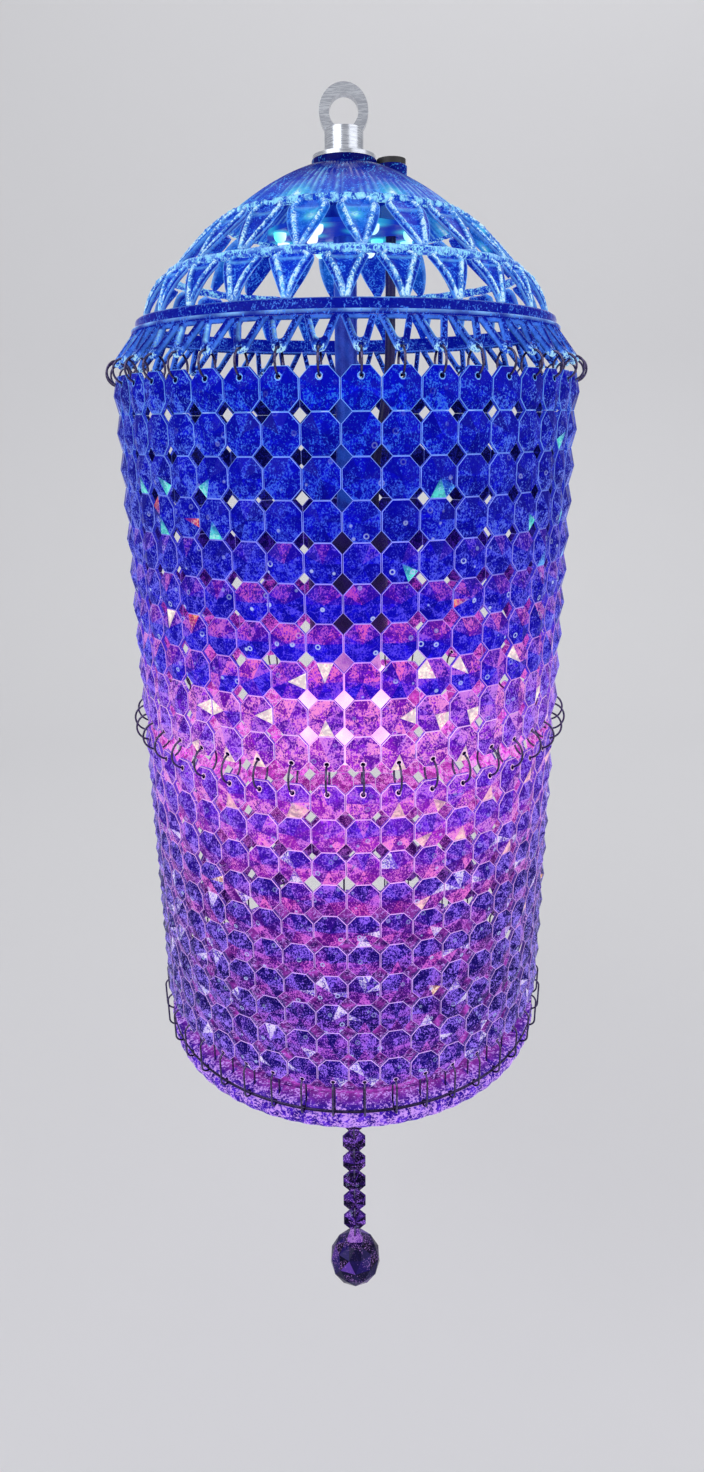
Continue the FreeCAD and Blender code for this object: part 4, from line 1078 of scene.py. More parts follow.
def make_leaves(name, node, upper, lower, count, first_turn, bulge, shoulder, power, ribs, stars):
    """A tier of leaves between two rings, each given as its radius, height and wire radius."""
    spread, drop = lower[0] - upper[0], upper[1] - lower[1]
    length = math.hypot(spread, drop)
    top_share = (upper[2] + PETAL_GAP) / length
    low_share = (lower[2] + PETAL_GAP) / length
    top_r = upper[0] + spread * top_share + 0.85
    low_r = lower[0] - spread * low_share - 0.4
    top_z, low_z = upper[1] - drop * top_share, lower[1] + drop * low_share + 0.5
    width = 2 * math.pi * top_r / count - PETAL_GAP
    line = (top_r, top_z, low_r, low_z)
    points, faces, tones, cover = leaf_grid(*line, width, bulge, shoulder, power, ribs)
    angles = np.radians(first_turn) + 2 * math.pi * np.arange(count) / count
    placed = copies(points, angles)
    piece = new_piece(name, placed, many(faces, count, len(points)), "root", node, "dome_glass",
                      dome_glass, 50)
    tones = tones[None] * (0.85 + 0.3 * rng.random((count, 1, 1)))
    sparks = blended(rgb(64, 140, 248), rgb(206, 246, 255), np.clip(cover - 0.26, 0, 1) * 5)
    if stars:
        gap = star_gap(placed, upper, spread, drop, angles)
        for tone, reach, share in STAR_LOOKS:
            tones = blended(tones, tone, bell(gap, reach) * share)
    paint(piece, tones.reshape(-1, 3), np.tile(cover, count), np.tile(sparks, (count, 1)))


make_leaves("upper_leaf_tier", "upper_petals", wire_ring("cap_ring"), wire_ring("middle_ring"), 20, 4.9,
            0.6, 0.24, 2.3, (0.8, 0.42), True)
make_leaves("lower_leaf_tier", "lower_petals", wire_ring("middle_ring"), flange, 26, 0.0,
            1.5, 0.15, 1.15, (0.77, 0.3), False)

# %% [markdown]
# ## Crown of loops
# Under the flange each strand has its own V of thick glass with a round tip. A bent curve with a bevel
# would have the same thickness all along, but the real V is wide at its shoulders. So the V is a closed
# frame: one line runs round its outside, another round its window, and a rounded section joins the two.
# It is drawn flat, tilted to the crown's slope, and drilled at the tip for its wire ring.

# %% Crown shape
CROWN_SLOPE = 0.889
CROWN_LENGTH = 15.711
CROWN_TOP_RADIUS = 90.122
CROWN_THICKNESS = 2.6
TIP_RADIUS = 2.6
LEG_WIDTH = 2.8
RAIL = 0.98
WINDOW_HALF = 1.17
CROWN_GAP = 0.1
CROWN_HOLE = 1.0
CROWN_HOLE_HEIGHT = -94.143
CROWN_TOP = -83.76
CROWN_SIN, CROWN_COS = math.sin(CROWN_SLOPE), math.cos(CROWN_SLOPE)


def v_outline(top_half, side_half, side_low, tip_half, top):
    """Closed outline of a V from its middle top: along the rail, down a side, round the tip to its
    lowest point, and back as the mirror image."""
    rail = np.linspace(0, 1, 4)[:-1]
    side = np.linspace(0, 1, 13)[:-1]
    swing = math.atan2(top_half - side_half, top - side_low)
    turn = swing + (math.pi - 2 * swing) * np.linspace(0, 0.5, 7)
    x = [rail * top_half, top_half + (side_half - top_half) * side, tip_half * np.cos(turn)]
    tip = side_low + tip_half * math.sin(swing) - tip_half * np.sin(turn)
    w = [0 * rail + top, top + (side_low - top) * side, tip]
    x, w = np.concatenate(x), np.concatenate(w)
    return np.concatenate([x, -x[-2:0:-1]]), np.concatenate([w, w[-2:0:-1]])


def squared_off(value):
    """A value's sign times its size to the power 0.7, which makes a circle a rounded square."""
    return np.sign(value) * np.abs(value) ** 0.7


def crown_frame(outer, window):
    """Points and faces of one V between its two outlines, tilted to the slope and cut flat above."""
    section = full_turn(14)
    out = 0.5 + 0.5 * squared_off(np.cos(section))
    x = window[0][:, None] + (outer[0] - window[0])[:, None] * out
    w = window[1][:, None] + (outer[1] - window[1])[:, None] * out
    d = np.broadcast_to(CROWN_THICKNESS / 2 * squared_off(np.sin(section)), x.shape)
    w = np.minimum(w, -d * CROWN_COS / CROWN_SIN)
    y = w * CROWN_COS - d * CROWN_SIN - CROWN_TOP_RADIUS
    points = np.stack([x, y, w * CROWN_SIN + d * CROWN_COS + CROWN_TOP], axis=2).reshape(-1, 3)
    return points, outwards(points, grid_faces(*x.shape, True, True))


print("crown slope", round(math.degrees(CROWN_SLOPE), 1), "degrees")


# %% Crown
def crown_tones(points, outer, window):
    """Painted light on a V: a thin pale outline as a highlight on its edges, blue between, a bright
    streak down one leg and a speckled bright tip, with painted shade in the hole and on the back.
    """
    y, z = points[:, 1] + CROWN_TOP_RADIUS, points[:, 2] - CROWN_TOP
    w, d = y * CROWN_COS + z * CROWN_SIN, z * CROWN_COS - y * CROWN_SIN
    flat_points = np.stack([points[:, 0], w], axis=1)[:, None]
    from_outer, from_window = [np.linalg.norm(flat_points - np.stack(line, axis=1), axis=2).min(1)
                               for line in (outer, window)]
    edge = bell(np.minimum(from_outer, from_window), 0.2)
    tip = np.clip((-w - 12.6) / 1.6, 0, 1)
    tones = blended(rgb(5, 16, 140), rgb(84, 146, 250), edge * 0.7)
    tones = blended(tones, rgb(40, 110, 230), tip * 0.7)
    hole = np.hypot(points[:, 0], points[:, 2] - CROWN_HOLE_HEIGHT) < CROWN_HOLE + 0.05
    tones = np.where((hole & (w < -10))[:, None], DEEP_BLUE, tones)
    tones = np.where((d < -0.2)[:, None], tones * 0.5, tones)
    streak = bell(from_window - 0.35, 0.55) * (points[:, 0] < 0) * (w < -2.5) * (w > -12) * (d > 0.1)
    return tones, streak, 0.24 + 0.32 * tip, blended(rgb(64, 120, 244), rgb(176, 232, 255), tip)


def make_crown():
    """A V for each strand. The side of a V leans by the swing, so it meets the tip's circle smoothly."""
    top_half = math.pi * CROWN_TOP_RADIUS / STRANDS - CROWN_GAP
    tip_centre = -CROWN_LENGTH + TIP_RADIUS
    swing = math.asin((top_half - TIP_RADIUS) / math.hypot(CROWN_LENGTH, top_half))
    outer = v_outline(top_half, TIP_RADIUS * math.cos(swing), tip_centre - TIP_RADIUS * math.sin(swing),
                      TIP_RADIUS, 0.0)
    window_low = tip_centre + TIP_RADIUS + RAIL
    window = v_outline(top_half - LEG_WIDTH, WINDOW_HALF, window_low, WINDOW_HALF, -RAIL)
    points, faces = drilled(*crown_frame(outer, window), (0, -STRAND_RADIUS, CROWN_HOLE_HEIGHT), "Y",
                            CROWN_HOLE)
    piece = new_piece("crown_straps", copies(points, STRAND_TURNS), many(faces, STRANDS, len(points)),
                      "root", "crown_loops", "dome_glass", dome_glass, 45)
    tones, streak, cover, sparks = crown_tones(points, outer, window)
    tones = tones[None] * (0.8 + 0.4 * rng.random((STRANDS, 1, 1)))
    tones = blended(tones, rgb(150, 218, 255), streak[None] * rng.random((STRANDS, 1)) ** 0.5)
    paint(piece, tones.reshape(-1, 3), np.tile(cover, STRANDS), np.tile(sparks, (STRANDS, 1)))


make_crown()

# %% [markdown]
# ## Dish
# The dish closes the lamp below. Its lip rests on the hoop, with a slot for each wire link, and under
# it hangs a crinkled apron that glitters. Inside, ridges run round and flutes run to the middle. Slots
# and crinkles could be cut with Booleans, but that would be over a hundred cuts. So one section is
# carried round the axis, with extra turns at the slots, and the radius and height change with the turn.

# %% Dish section
SLOT_HALF_TURN = math.degrees(1.0 / 97.0)
SLOT_SIDE = 0.04
CRINKLES = 66
CRINKLE_DROP = 1.2
DISH_WALL = 2.6
DISH_DEPTH = 18.5
APRON_HEIGHT = 9.8
APRON_LEAN = 3.4
SHANK_HOLE = 1.6
PAD_RADIUS = 6.5
RIDGES = 5
RIDGE_HEIGHT = 0.9
NECK_RADIUS = 93.772
LIP_THICKNESS = 2.0
LIP_OVER = 0.6

dish_low, dish_high = span("bottom_dish")
apron_radius, lip_top, dish_floor = dish_high[0], dish_high[2], dish_low[2]
apron_bottom = dish_floor + DISH_DEPTH
apron_top = apron_bottom + APRON_HEIGHT
apron_low_radius = apron_radius - APRON_LEAN
well_radius = NECK_RADIUS - DISH_WALL


def ridges(r):
    """Waves from 0 to 1 of the radius, over the dish's inner side."""
    return 0.5 - 0.5 * np.cos(2 * math.pi * RIDGES * (r - PAD_RADIUS) / (well_radius - PAD_RADIUS))


def bowl_height(r):
    """Height of the bowl's outer face, which falls with the square of the radius to its floor."""
    return apron_bottom - DISH_DEPTH * (1 - (r / apron_low_radius) ** 2)


def dish_section():
    """The closed section, as four lists of radius and height: lip, apron, bowl and inner side."""
    lip_low, lip_radius = lip_top - LIP_THICKNESS, STRAND_RADIUS + LIP_OVER
    lip = [(lip_radius, lip_top), (lip_radius, lip_low), (NECK_RADIUS, lip_low)]
    steps = ((0.6, 0), (0, 0.6), (0.2, 3), (0.4, 5), (1.3, 7.4))
    apron = [(apron_radius - inwards, apron_top - down) for inwards, down in steps]
    apron = [(NECK_RADIUS, apron_top)] + apron + [(apron_low_radius, apron_bottom)]
    bowl_r = apron_low_radius * (1 - np.linspace(0.03, 1, 14)[:-1])
    bowl = [(r, bowl_height(r)) for r in bowl_r] + [(SHANK_HOLE, dish_floor)]
    well_r = np.linspace(PAD_RADIUS, well_radius, 41)[1:]
    well = [(SHANK_HOLE, dish_floor + DISH_WALL), (PAD_RADIUS, dish_floor + DISH_WALL)]
    well += list(zip(well_r, bowl_height(well_r) + DISH_WALL + RIDGE_HEIGHT * ridges(well_r)))
    return lip, apron, bowl, well + [(well_radius, lip_top)]


print("dish section has", sum(map(len, dish_section())), "points")


# %% Dish
APRON_TONES = (rgb(34, 12, 128), rgb(88, 38, 206))
BOWL_TONES = (rgb(40, 16, 130), rgb(84, 40, 190))
WELL_TONES = (rgb(44, 10, 104), rgb(214, 84, 220))
RAY_TONE = rgb(206, 90, 214)
LIP_TONE = rgb(74, 36, 168)
DISH_COVERS = np.array((0.36, 0.44, 0.16, 0.22))


def dish_paint(points, part, wave):
    """Painted light on the dish: a glittering violet apron with painted shade in its creases, and a dark
    purple inside with painted highlights in rays and on the crests of the ridges. part is 0 on the lip,
    1 on the apron, 2 on the bowl and 3 on the inner side."""
    r = np.hypot(points[:, 0], points[:, 1])
    rays = 0.5 + 0.5 * np.sin(CRINKLES * turn_of(points))
    rings = ridges(r)
    apron = blended(*APRON_TONES, 1 - wave * 1.6)
    bowl = blended(*BOWL_TONES, rays * (r / apron_radius))
    well = blended(*WELL_TONES, 0.8 * rings ** 8 + 0.4 * (1 - rings) ** 8)
    well = blended(well, RAY_TONE, 0.4 * rays ** 6)
    lip = np.broadcast_to(LIP_TONE, apron.shape)
    tones = np.select([(part == k)[:, None] for k in range(4)], [lip, apron, bowl, well])
    return tones, DISH_COVERS[part], rgb(208, 158, 255)


def make_dish():
    """The section round the axis. At a slot the lip's radius drops to the neck's, and the apron's height
    and radius wave with the size of a sine of the turn."""
    step_turn = 360.0 / STRANDS
    near = SLOT_HALF_TURN + SLOT_SIDE
    local = np.concatenate([[-near, -SLOT_HALF_TURN, SLOT_HALF_TURN, near],
                            np.linspace(near, step_turn - near, 10)[1:-1]])
    turns = np.radians(STRAND_TURN + (step_turn * np.arange(STRANDS)[:, None] + local).ravel())
    in_slot = np.tile(np.abs(local) <= SLOT_HALF_TURN, STRANDS)
    parts = dish_section()
    profile = np.array([p for part in parts for p in part])
    rr, zz, tt = carried_round(profile[:, 0], profile[:, 1], turns)
    row = np.arange(len(profile))[:, None]
    rr = np.where((row < 2) & in_slot[None], NECK_RADIUS + 0.02, rr)
    wave = 0.5 - 0.5 * np.abs(np.sin(CRINKLES / 2 * tt + 0.6 * np.sin(5 * tt)))
    down = row - len(parts[0])
    crinkle = CRINKLE_DROP * (wave - 0.5) * np.clip((down - 3) / 3, 0, 1)
    zz = zz - np.where((down >= 4) & (down <= 8), crinkle, 0)
    rr = rr - np.where((down >= 1) & (down <= 7), (0.6 + 0.25 * down) * wave, 0)
    points, faces = closed_ring(rr, zz, tt)
    piece = new_piece("crinkled_dish", points, faces, "root", "bottom_dish", "dish_glass", dish_glass, 50)
    part = np.repeat(np.repeat(np.arange(4), [len(p) for p in parts]), len(turns))
    paint(piece, *dish_paint(points, part, wave.ravel()))


make_dish()

# %% [markdown]
# ## Drop
# Nine beads hang on wire rings under the dish, dark against the lit dish. They are the curtain's bead
# with a hole at both ends, so the same points serve again, in three lengths that swing by themselves.

# %% Drop beads
DROP_DARK, DROP_LIT = rgb(6, 3, 34), rgb(92, 48, 178)
DROP_SPARK = rgb(170, 116, 240)
DROP_LINE_SHARE = 0.26


def make_drop_beads(part):
    """Three beads in line on the axis, each facet at its own step from dark to lit."""
    node = "drop_" + part + "_beads"
    points, faces, kinds = bead_template((TOP_WEDGE, BOTTOM_WEDGE))[:3]
    low, high = span(node)
    step_down = (high[2] - low[2] - BEAD_HEIGHT) / 2
    heights = high[2] - BEAD_HEIGHT / 2 - step_down * np.arange(3)
    placed = copies(points, np.zeros(3), 0.0, heights)
    piece = new_piece("crystal_" + node, placed, many(faces, 3, len(points)), "drop_" + part, node,
                      "crystal", crystal)
    facet = (kinds == FACET) | (kinds == BACK)
    amount = np.clip(rng.random((3, len(kinds))) * 1.5 - 0.9, 0, 1)
    amount = np.where(facet, amount, np.where(kinds == TUBE, 0, DROP_LINE_SHARE))
    tones = per_corner(blended(DROP_DARK, DROP_LIT, amount), faces, axis=1)
    cover = per_corner(np.where(facet, 0.1 + 0.4 * amount, 0), faces)
    paint(piece, tones, cover, DROP_SPARK, 0.2, True)


for part in ("upper", "middle", "lower"):
    make_drop_beads(part)

# %% [markdown]
# ## Ball
# The ball at the end is a large clear crystal with a drilled lug. An icosphere would be quick, but a cut
# ball has its facets in level bands between two flat ends. So its points stand in rings, and each ring
# is turned half a facet from the one below. Only the lug and a few low facets catch the light.

# %% Ball and lug
BALL_RADIUS = 16.4
BALL_ROWS = 5
BALL_ROUND = 10
BALL_FLAT = 66.0
LUG_HEIGHT = 8.0
LUG_LOW_HALF, LUG_HIGH_HALF = np.array((4.9, 2.4)), np.array((2.8, 1.2))
LUG_CORNER = 0.3
LUG_ROWS = 5
LUG_HOLE = 1.1
LUG_HOLE_FROM_TOP = 2.6


def ball_shell(centre):
    """Rings of points on the ball, each turned half a facet from the one under it, and two flat ends."""
    row = np.arange(BALL_ROWS + 1)
    tilt = np.radians(BALL_FLAT * (2 * row / BALL_ROWS - 1))
    turn = full_turn(BALL_ROUND)[None] + math.pi / BALL_ROUND * (row % 2)[:, None]
    r = BALL_RADIUS * np.cos(tilt)[:, None]
    z = np.broadcast_to(centre + BALL_RADIUS * np.sin(tilt)[:, None], turn.shape)
    points = np.stack([r * np.cos(turn), r * np.sin(turn), z], axis=2).reshape(-1, 3)
    faces = []
    for k in range(BALL_ROWS):
        low, high = k * BALL_ROUND, (k + 1) * BALL_ROUND
        for i in range(BALL_ROUND):
            j = (i + 1) % BALL_ROUND
            near = high + (i if k % 2 == 0 else j)
            far = low + (j if k % 2 == 0 else i)
            faces += [[low + i, low + j, near], [far, high + j, high + i]]
    faces += [list(range(BALL_ROUND))[::-1], list(range(BALL_ROWS * BALL_ROUND, len(points)))]
    return points, outwards(points - [0, 0, centre], faces)


def lug_shell(low_z, high_z):
    """A tapered block with cut corners: the outline shrinks on its way up."""
    points = []
    for share in np.linspace(0, 1, LUG_ROWS):
        a, b = LUG_LOW_HALF + (LUG_HIGH_HALF - LUG_LOW_HALF) * share
        ca, cb = LUG_CORNER * a, LUG_CORNER * b
        half = [(a, b - cb), (a - ca, b), (-a + ca, b), (-a, b - cb)]
        outline = half + [(-x, -y) for x, y in half]
        points += [(x, y, low_z + (high_z - low_z) * share) for x, y in outline]
    faces = grid_faces(LUG_ROWS, 8, False, True).tolist()
    faces += [list(range(8))[::-1], list(range(len(points) - 8, len(points)))]
    points = np.array(points)
    return points, outwards(points - points.mean(0), faces)


def make_ball():
    """The ball and its drilled lug as one piece, facet by facet."""
    low, high = span("crystal_ball")
    centre = low[2] + BALL_RADIUS * math.sin(math.radians(BALL_FLAT))
    ball, ball_faces = ball_shell(centre)
    lug = drilled(*lug_shell(high[2] - LUG_HEIGHT, high[2]), (0, 0, high[2] - LUG_HOLE_FROM_TOP), "Y",
                  LUG_HOLE)
    points, faces = joined(ball, ball_faces, *lug)
    piece = new_piece("cut_crystal_ball", points, faces, "ball", "crystal_ball", "crystal", ball_glass)
    middles = np.array([points[f].mean(0) for f in faces])
    down = np.clip((centre - middles[:, 2]) / BALL_RADIUS, -1, 1)
    amount = (rng.random(len(faces)) < 0.12 + 0.45 * np.clip(down, 0, 1)) * rng.random(len(faces))
    shade = blended(rgb(5, 4, 34), rgb(38, 24, 112), rng.random(len(faces)) ** 2)
    tones = blended(shade, rgb(126, 80, 214), amount)
    in_lug = np.arange(len(faces)) >= len(ball_faces)
    tones[in_lug] = blended(rgb(60, 26, 150), rgb(160, 84, 214), rng.random(in_lug.sum()))
    cover = per_corner(np.where(in_lug, 0.5, 0.02 + 0.2 * (down > 0.4)), faces)
    paint(piece, per_corner(tones, faces, axis=0), cover, rgb(206, 150, 250), 0.0, True)


make_ball()

# %% [markdown]
# ## Bulb
# The bulb is an opal globe that glows pink and white. A point lamp inside it would need many samples
# behind so much glass. Here the light is a finish of the globe itself, in soft clouds of two tones, so
# it shows through the beads from every side and leaves the stage light alone.

# %% Bulb globe
GLOBE_WALL = 1.5
GLOBE_AROUND = 64
GLOBE_ROWS = (27, 19)

opal, tree, shader = material("opal_glass")
cloud = step(tree, noise(tree, 0.05, 3.0), 0.3, 0.7)
two_tones(tree, shader, "Emission Color", cloud, rgb(255, 150, 218), rgb(255, 206, 226))
two_tones(tree, shader, "Base Color", cloud, rgb(250, 222, 240), rgb(255, 240, 242))
fill(shader, Emission_Strength=1.3, Roughness=0.35)


def globe_shell(low, high):
    """A hollow globe, open at its neck: an outer and an inner arc from the opening down to the lowest
    point, carried round the axis. A strip joins them at the opening, and a fan closes each below."""
    radius = high[0]
    centre = low[2] + radius
    shells = []
    for r, count in zip((radius, radius - GLOBE_WALL), GLOBE_ROWS):
        tilt = np.linspace(math.asin(min(1.0, (high[2] - centre) / r)), -math.pi / 2, count + 1)[:-1]
        ring = carried_round(r * np.cos(tilt), centre + r * np.sin(tilt), full_turn(GLOBE_AROUND))
        points = np.concatenate([polar(*ring).reshape(-1, 3), [[0, 0, centre - r]]])
        last, pole = (count - 1) * GLOBE_AROUND, count * GLOBE_AROUND
        fan = [[last + i, last + (i + 1) % GLOBE_AROUND, pole] for i in range(GLOBE_AROUND)]
        shells.append((points, grid_faces(count, GLOBE_AROUND, False, True).tolist() + fan))
    (outer, outer_faces), (inner, inner_faces) = shells
    points, faces = joined(outer, outer_faces, inner, [f[::-1] for f in inner_faces])
    start = len(outer)
    for i in range(GLOBE_AROUND):
        j = (i + 1) % GLOBE_AROUND
        faces.append([j, i, start + i, start + j])
    return points, outwards(points - [0, 0, centre], faces)


globe = globe_shell(*span("bulb_globe"))
new_piece("opal_globe", *globe, "bulb", "bulb_globe", "bulb_opal", opal, 60)

# %% [markdown]
# ## Finishes for the hardware
# The other CAD nodes keep their own shapes and only get a finish: plated metal with faint drawing
# lines, moulded plastic with a fine grain, clear thread, and wire painted dark as shade and tinted
# violet, as it stands against lit glass.
# One flat colour each would be quick, but real surfaces vary a little. So one noise gives a finish its
# two tones, its roughness and its small bumps, which then all lie in the same places.


# %% Metals and plastics
def finish(name, colour_a, colour_b, per_mm, stretch, roughness, metal, depth, **more):
    """A surface that varies between two colours along a noise, with bumps from the same noise."""
    m, tree, shader = material(name)
    pattern = noise(tree, per_mm, 3.0, 0.6, stretch)
    two_tones(tree, shader, "Base Color", step(tree, pattern, 0.35, 0.65), colour_a, colour_b)
    rough = step(tree, pattern, 0.3, 0.7, roughness * 0.75, roughness * 1.25)
    tree.links.new(rough, shader.inputs["Roughness"])
    fill(shader, Metallic=metal, **more)
    bump(tree, shader, pattern, depth)
    return m


LEVEL = (0.3, 0.3, 4.0)
EVEN = (1, 1, 1)
finishes = {
    # The wire and the hoop wire are painted dark as shade, against the lit glass.
    "wire": finish("shaded_wire", rgb(60, 54, 84), rgb(96, 88, 124), 1.0, EVEN, 0.22, 1.0, 0.01),
    "hoop_wire": finish("shaded_hoop", rgb(38, 30, 60), rgb(58, 48, 86), 1.0, EVEN, 0.3, 1.0, 0.01),
    "thread": finish("clear_nylon", rgb(190, 190, 220), rgb(225, 225, 245), 2.0, EVEN, 0.25, 0.0,
                     0.005, Transmission_Weight=0.6),
    "hardware": finish("plated_steel", rgb(176, 180, 190), rgb(206, 210, 218), 0.7, LEVEL, 0.24, 1.0,
                       0.02),
    "board": finish("lit_board", rgb(20, 60, 156), rgb(26, 92, 176), 0.25, EVEN, 0.5, 0.0, 0.03),
    "black_plastic": finish("black_moulding", rgb(22, 22, 25), rgb(34, 34, 38), 2.2, EVEN, 0.55, 0.0,
                            0.03),
    "white_plastic": finish("white_moulding", rgb(222, 221, 216), rgb(236, 236, 232), 2.0, EVEN, 0.45,
                            0.0, 0.02),
}
print("finishes:", *finishes)

# %% [markdown]
# The lamp board is lit by its own lenses: the light is cyan round each lens and blue between them. Real
# small lamps would cost samples, so the board glows by the distance to the nearest place of a ring of
# lenses, which is worked out in nodes from the turn and the radius.

# %% Lamp board and lenses
OUTER_LENSES = (29.0, 8)
INNER_LENSES = (15.0, 4)
HALO_REACH = 9.0


def length_of(tree, a, b):
    """The square root of the sum of two squares."""
    return maths(tree, "SQRT", added(tree, times(tree, a, a), times(tree, b, b)))


def halo(tree, ring_radius, count):
    """1 at each lens of a ring, falling to 0 over the reach. The way along the ring to the next lens is
    the ring's radius over the count, times the arc cosine of the cosine of count times the turn."""
    parts = tree.nodes.new("ShaderNodeSeparateXYZ")
    tree.links.new(here(tree), parts.inputs["Vector"])
    x, y = parts.outputs["X"], parts.outputs["Y"]
    turn = maths(tree, "ARCTAN2", x, times(tree, y, -1.0))
    waves = maths(tree, "SUBTRACT", times(tree, turn, count), math.radians(FIRST_LAMP_TURN * count))
    along = maths(tree, "ARCCOSINE", maths(tree, "COSINE", waves))
    along = times(tree, along, ring_radius * MM / count)
    out = maths(tree, "SUBTRACT", length_of(tree, x, y), ring_radius * MM)
    return step(tree, length_of(tree, along, out), 0.0, HALO_REACH * MM, 1.0, 0.0)


tree = finishes["board"].node_tree
shader = tree.nodes["Principled BSDF"]
nearest = maths(tree, "MAXIMUM", halo(tree, *OUTER_LENSES), halo(tree, *INNER_LENSES))
two_tones(tree, shader, "Emission Color", nearest, rgb(8, 40, 170), rgb(60, 226, 240))
fill(shader, Emission_Strength=0.7)

finishes["lamp_lens"], tree, shader = material("lamp_lens")
patch = step(tree, noise(tree, 0.035, 1.0), 0.42, 0.58)
two_tones(tree, shader, "Emission Color", patch, rgb(90, 255, 232), rgb(240, 246, 255))
two_tones(tree, shader, "Base Color", patch, rgb(110, 210, 220), rgb(200, 210, 230))
fill(shader, Emission_Strength=1.1, Roughness=0.1)
print("lenses in rings of", OUTER_LENSES[1], "and", INNER_LENSES[1])

# %% [markdown]
# The bulb's cap has a rolled thread. The CAD node is a plain sleeve with a cone and a contact, and the
# thread could be a helix of its own. As the cap sits deep in its holder, a finish is enough: the bands
# of a Wave texture along Z give the ridges their bump, and a tone that is lighter on the crests and
# darker in the grooves, as painted shade.

# %% Rolled thread
THREAD_BANDS = 43.0

finishes["bulb_metal"], tree, shader = material("rolled_thread")
wave = tree.nodes.new("ShaderNodeTexWave")
wave.bands_direction = "Z"
fill(wave, Scale=THREAD_BANDS, Distortion=0.0)
tree.links.new(here(tree), wave.inputs["Vector"])
bump(tree, shader, wave.outputs["Fac"], 1.2, 0.8)
# Painted shade: the thread is darker in its grooves and lighter on its crests.
two_tones(tree, shader, "Base Color", wave.outputs["Fac"], rgb(130, 130, 136), rgb(206, 206, 210))
fill(shader, Metallic=1.0, Roughness=0.3)
print("finishes for", len(finishes), "slots")

# %% [markdown]
# The parts inside the lamp take its light. The stem, the nuts and the holder stand among blue lamps and
# a pink bulb, so in the photo they are no longer grey, black or white. They could be lit by real lamps,
# but a faint cloudy glow on each is enough for parts that are seen through gaps.


# %% Parts inside the lamp
def lit(name, base, glow_a, glow_b, strength, **more):
    """A part's own colour, and a cloudy glow between two tones."""
    m, tree, shader = material(name)
    cloud = step(tree, noise(tree, 0.12, 3.0), 0.35, 0.65)
    two_tones(tree, shader, "Emission Color", cloud, glow_a, glow_b)
    tree.links.new(step(tree, noise(tree, 1.5), 0.3, 0.7, 0.25, 0.45), shader.inputs["Roughness"])
    fill(shader, Base_Color=flat(base), Emission_Strength=strength, **more)
    return m


lit_steel = lit("lit_steel", rgb(60, 74, 150), rgb(10, 24, 130), rgb(30, 80, 200), 0.5, Metallic=1.0)
lit_black = lit("lit_black", rgb(16, 14, 34), rgb(8, 6, 60), rgb(30, 12, 96), 0.5)
lit_white = lit("lit_white", rgb(200, 180, 214), rgb(150, 60, 190), rgb(236, 150, 226), 0.5)
inside = {}
for finish_inside, names in (
        (lit_steel, ("stem_tube", "cap_nut", "holder_nut", "led_board_hub")),
        (lit_black, ("inner_lead", "lampholder_shell")),
        (lit_white, ("bulb_neck", "lampholder_insert")),
):
    inside.update(dict.fromkeys(names, finish_inside))
print(len(inside), "parts take the lamp's light")

# %% [markdown]
# Each CAD node that still shows gets the finish of its material slot in the record, or its lit one.

# %% Dress the CAD nodes
dressed = 0
for part in frame["record"]["subparts"]:
    node = nodes[part["node"]]
    chosen = inside.get(part["node"], finishes.get(part["material_slot"]))
    if chosen is not None and not node.hide_render:
        node.data.materials.clear()
        node.data.materials.append(chosen)
        dressed += 1
print(dressed, "CAD nodes dressed")

# %% [markdown]
# ## Stage
# The lamp hangs before a pale sheet of paper that runs along the floor and curves up into a wall. A
# plane with a corner would show a line behind the lamp. The sheet is one profile carried across, and it
# is only as large as the views need, because it throws the stage light back on the lamp.

# %% Floor
FLOOR_DROP = 820.0
FLOOR_FRONT = -2600.0
FLOOR_HALF_WIDTH = 3200.0
FLOOR_BACK = 1500.0
BEND_RADIUS = 900.0
WALL_HEIGHT = 4200.0
PAPER = (0.80, 0.80, 0.82, 1.0)

bend = np.radians(np.linspace(0, 90, 16))
y = np.concatenate([[FLOOR_FRONT], FLOOR_BACK + BEND_RADIUS * np.sin(bend), [FLOOR_BACK + BEND_RADIUS]])
z = np.concatenate([[0.0], BEND_RADIUS * (1 - np.cos(bend)), [WALL_HEIGHT]]) - FLOOR_DROP
yy, xx = np.meshgrid(y, np.array([-FLOOR_HALF_WIDTH, FLOOR_HALF_WIDTH]), indexing="ij")
points = np.stack([xx, yy, np.repeat(z[:, None], 2, axis=1)], axis=2).reshape(-1, 3)
mesh = bpy.data.meshes.new("floor")
mesh.from_pydata((points * MM).tolist(), [], grid_faces(len(y), 2).tolist())
mesh.polygons.foreach_set("use_smooth", np.full(len(mesh.polygons), True))
floor = bpy.data.objects.new("floor", mesh)
bpy.context.scene.collection.objects.link(floor)
paper, tree, shader = material("floor_paper")
fill(shader, Base_Color=PAPER, Roughness=0.9)
mesh.materials.append(paper)
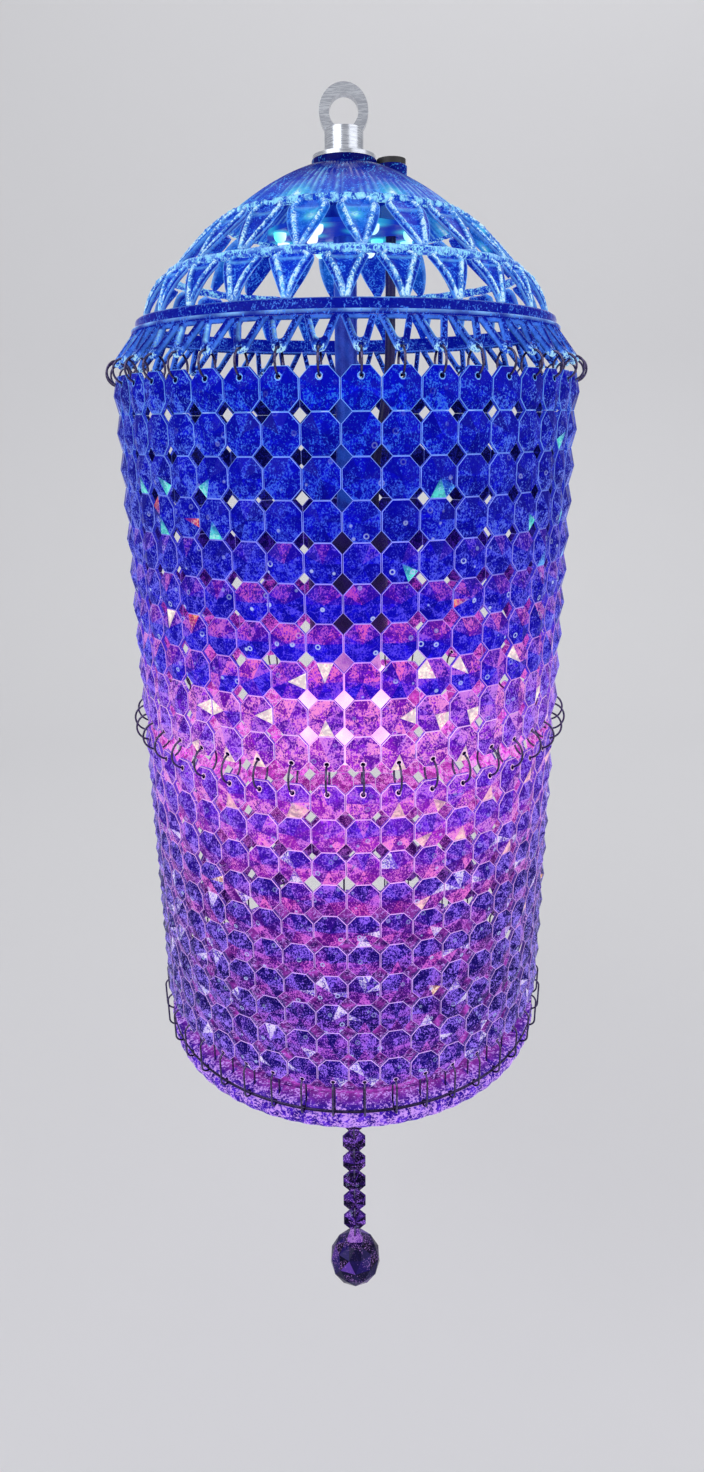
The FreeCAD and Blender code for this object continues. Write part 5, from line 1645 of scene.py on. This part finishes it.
print("floor", FLOOR_DROP, "mm under the frame's origin")

# %% [markdown]
# Three large soft lamps stand round the object: a key and a weaker fill in front, and one behind. They
# are far away, since a near lamp leaves a bright patch on the floor in the side views.

# %% Lamps
AIM = np.array([0, 0, -300.0])


def soft_lamp(name, place, size, power):
    """A square area lamp at a place in millimetres, turned to the middle of the object."""
    data = bpy.data.lights.new(name, "AREA")
    data.size = size * MM
    data.energy = power
    lamp = bpy.data.objects.new(name, data)
    lamp.location = [v * MM for v in place]
    x, y, z = AIM - np.array(place)
    lamp.rotation_euler = (math.atan2(math.hypot(x, y), -z), 0, math.atan2(x, -y) + math.pi)
    bpy.context.scene.collection.objects.link(lamp)


soft_lamp("key", (-2210, -2550, 1740), 3400, 72)
soft_lamp("fill", (2560, -1600, 900), 3200, 33)
soft_lamp("back", (500, 1900, 1900), 2400, 28)
print("three lamps aimed at", AIM)

# %% [markdown]
# The world lights the object weakly, but where a ray meets it straight, or through glass or a mirror,
# it looks paler. A brighter world alone would wash out the glow of the glass. With Light Path, both
# hold at once, and the background is pale on every side.

# %% World
SKY = (0.9, 0.9, 0.92, 1)
SKY_LIGHT = 0.35
SKY_SEEN = 0.7

world = bpy.data.worlds.new("studio")
bpy.context.scene.world = world
world.use_nodes = True
sky = world.node_tree
fill(sky.nodes["Background"], Color=SKY, Strength=SKY_LIGHT)
seen = sky.nodes.new("ShaderNodeBackground")
fill(seen, Color=SKY, Strength=SKY_SEEN)
ray = sky.nodes.new("ShaderNodeLightPath").outputs
straight = maths(sky, "MAXIMUM", ray["Is Camera Ray"], ray["Is Glossy Ray"])
either = sky.nodes.new("ShaderNodeMixShader")
shown = maths(sky, "MAXIMUM", straight, ray["Is Transmission Ray"])
connect(sky, either.inputs, (shown, sky.nodes["Background"].outputs[0], seen.outputs[0]))
sky.links.new(either.outputs[0], sky.nodes["World Output"].inputs["Surface"])
bpy.context.scene.view_settings.view_transform = "Standard"
print("sky", SKY_LIGHT, "as light and", SKY_SEEN, "as background")
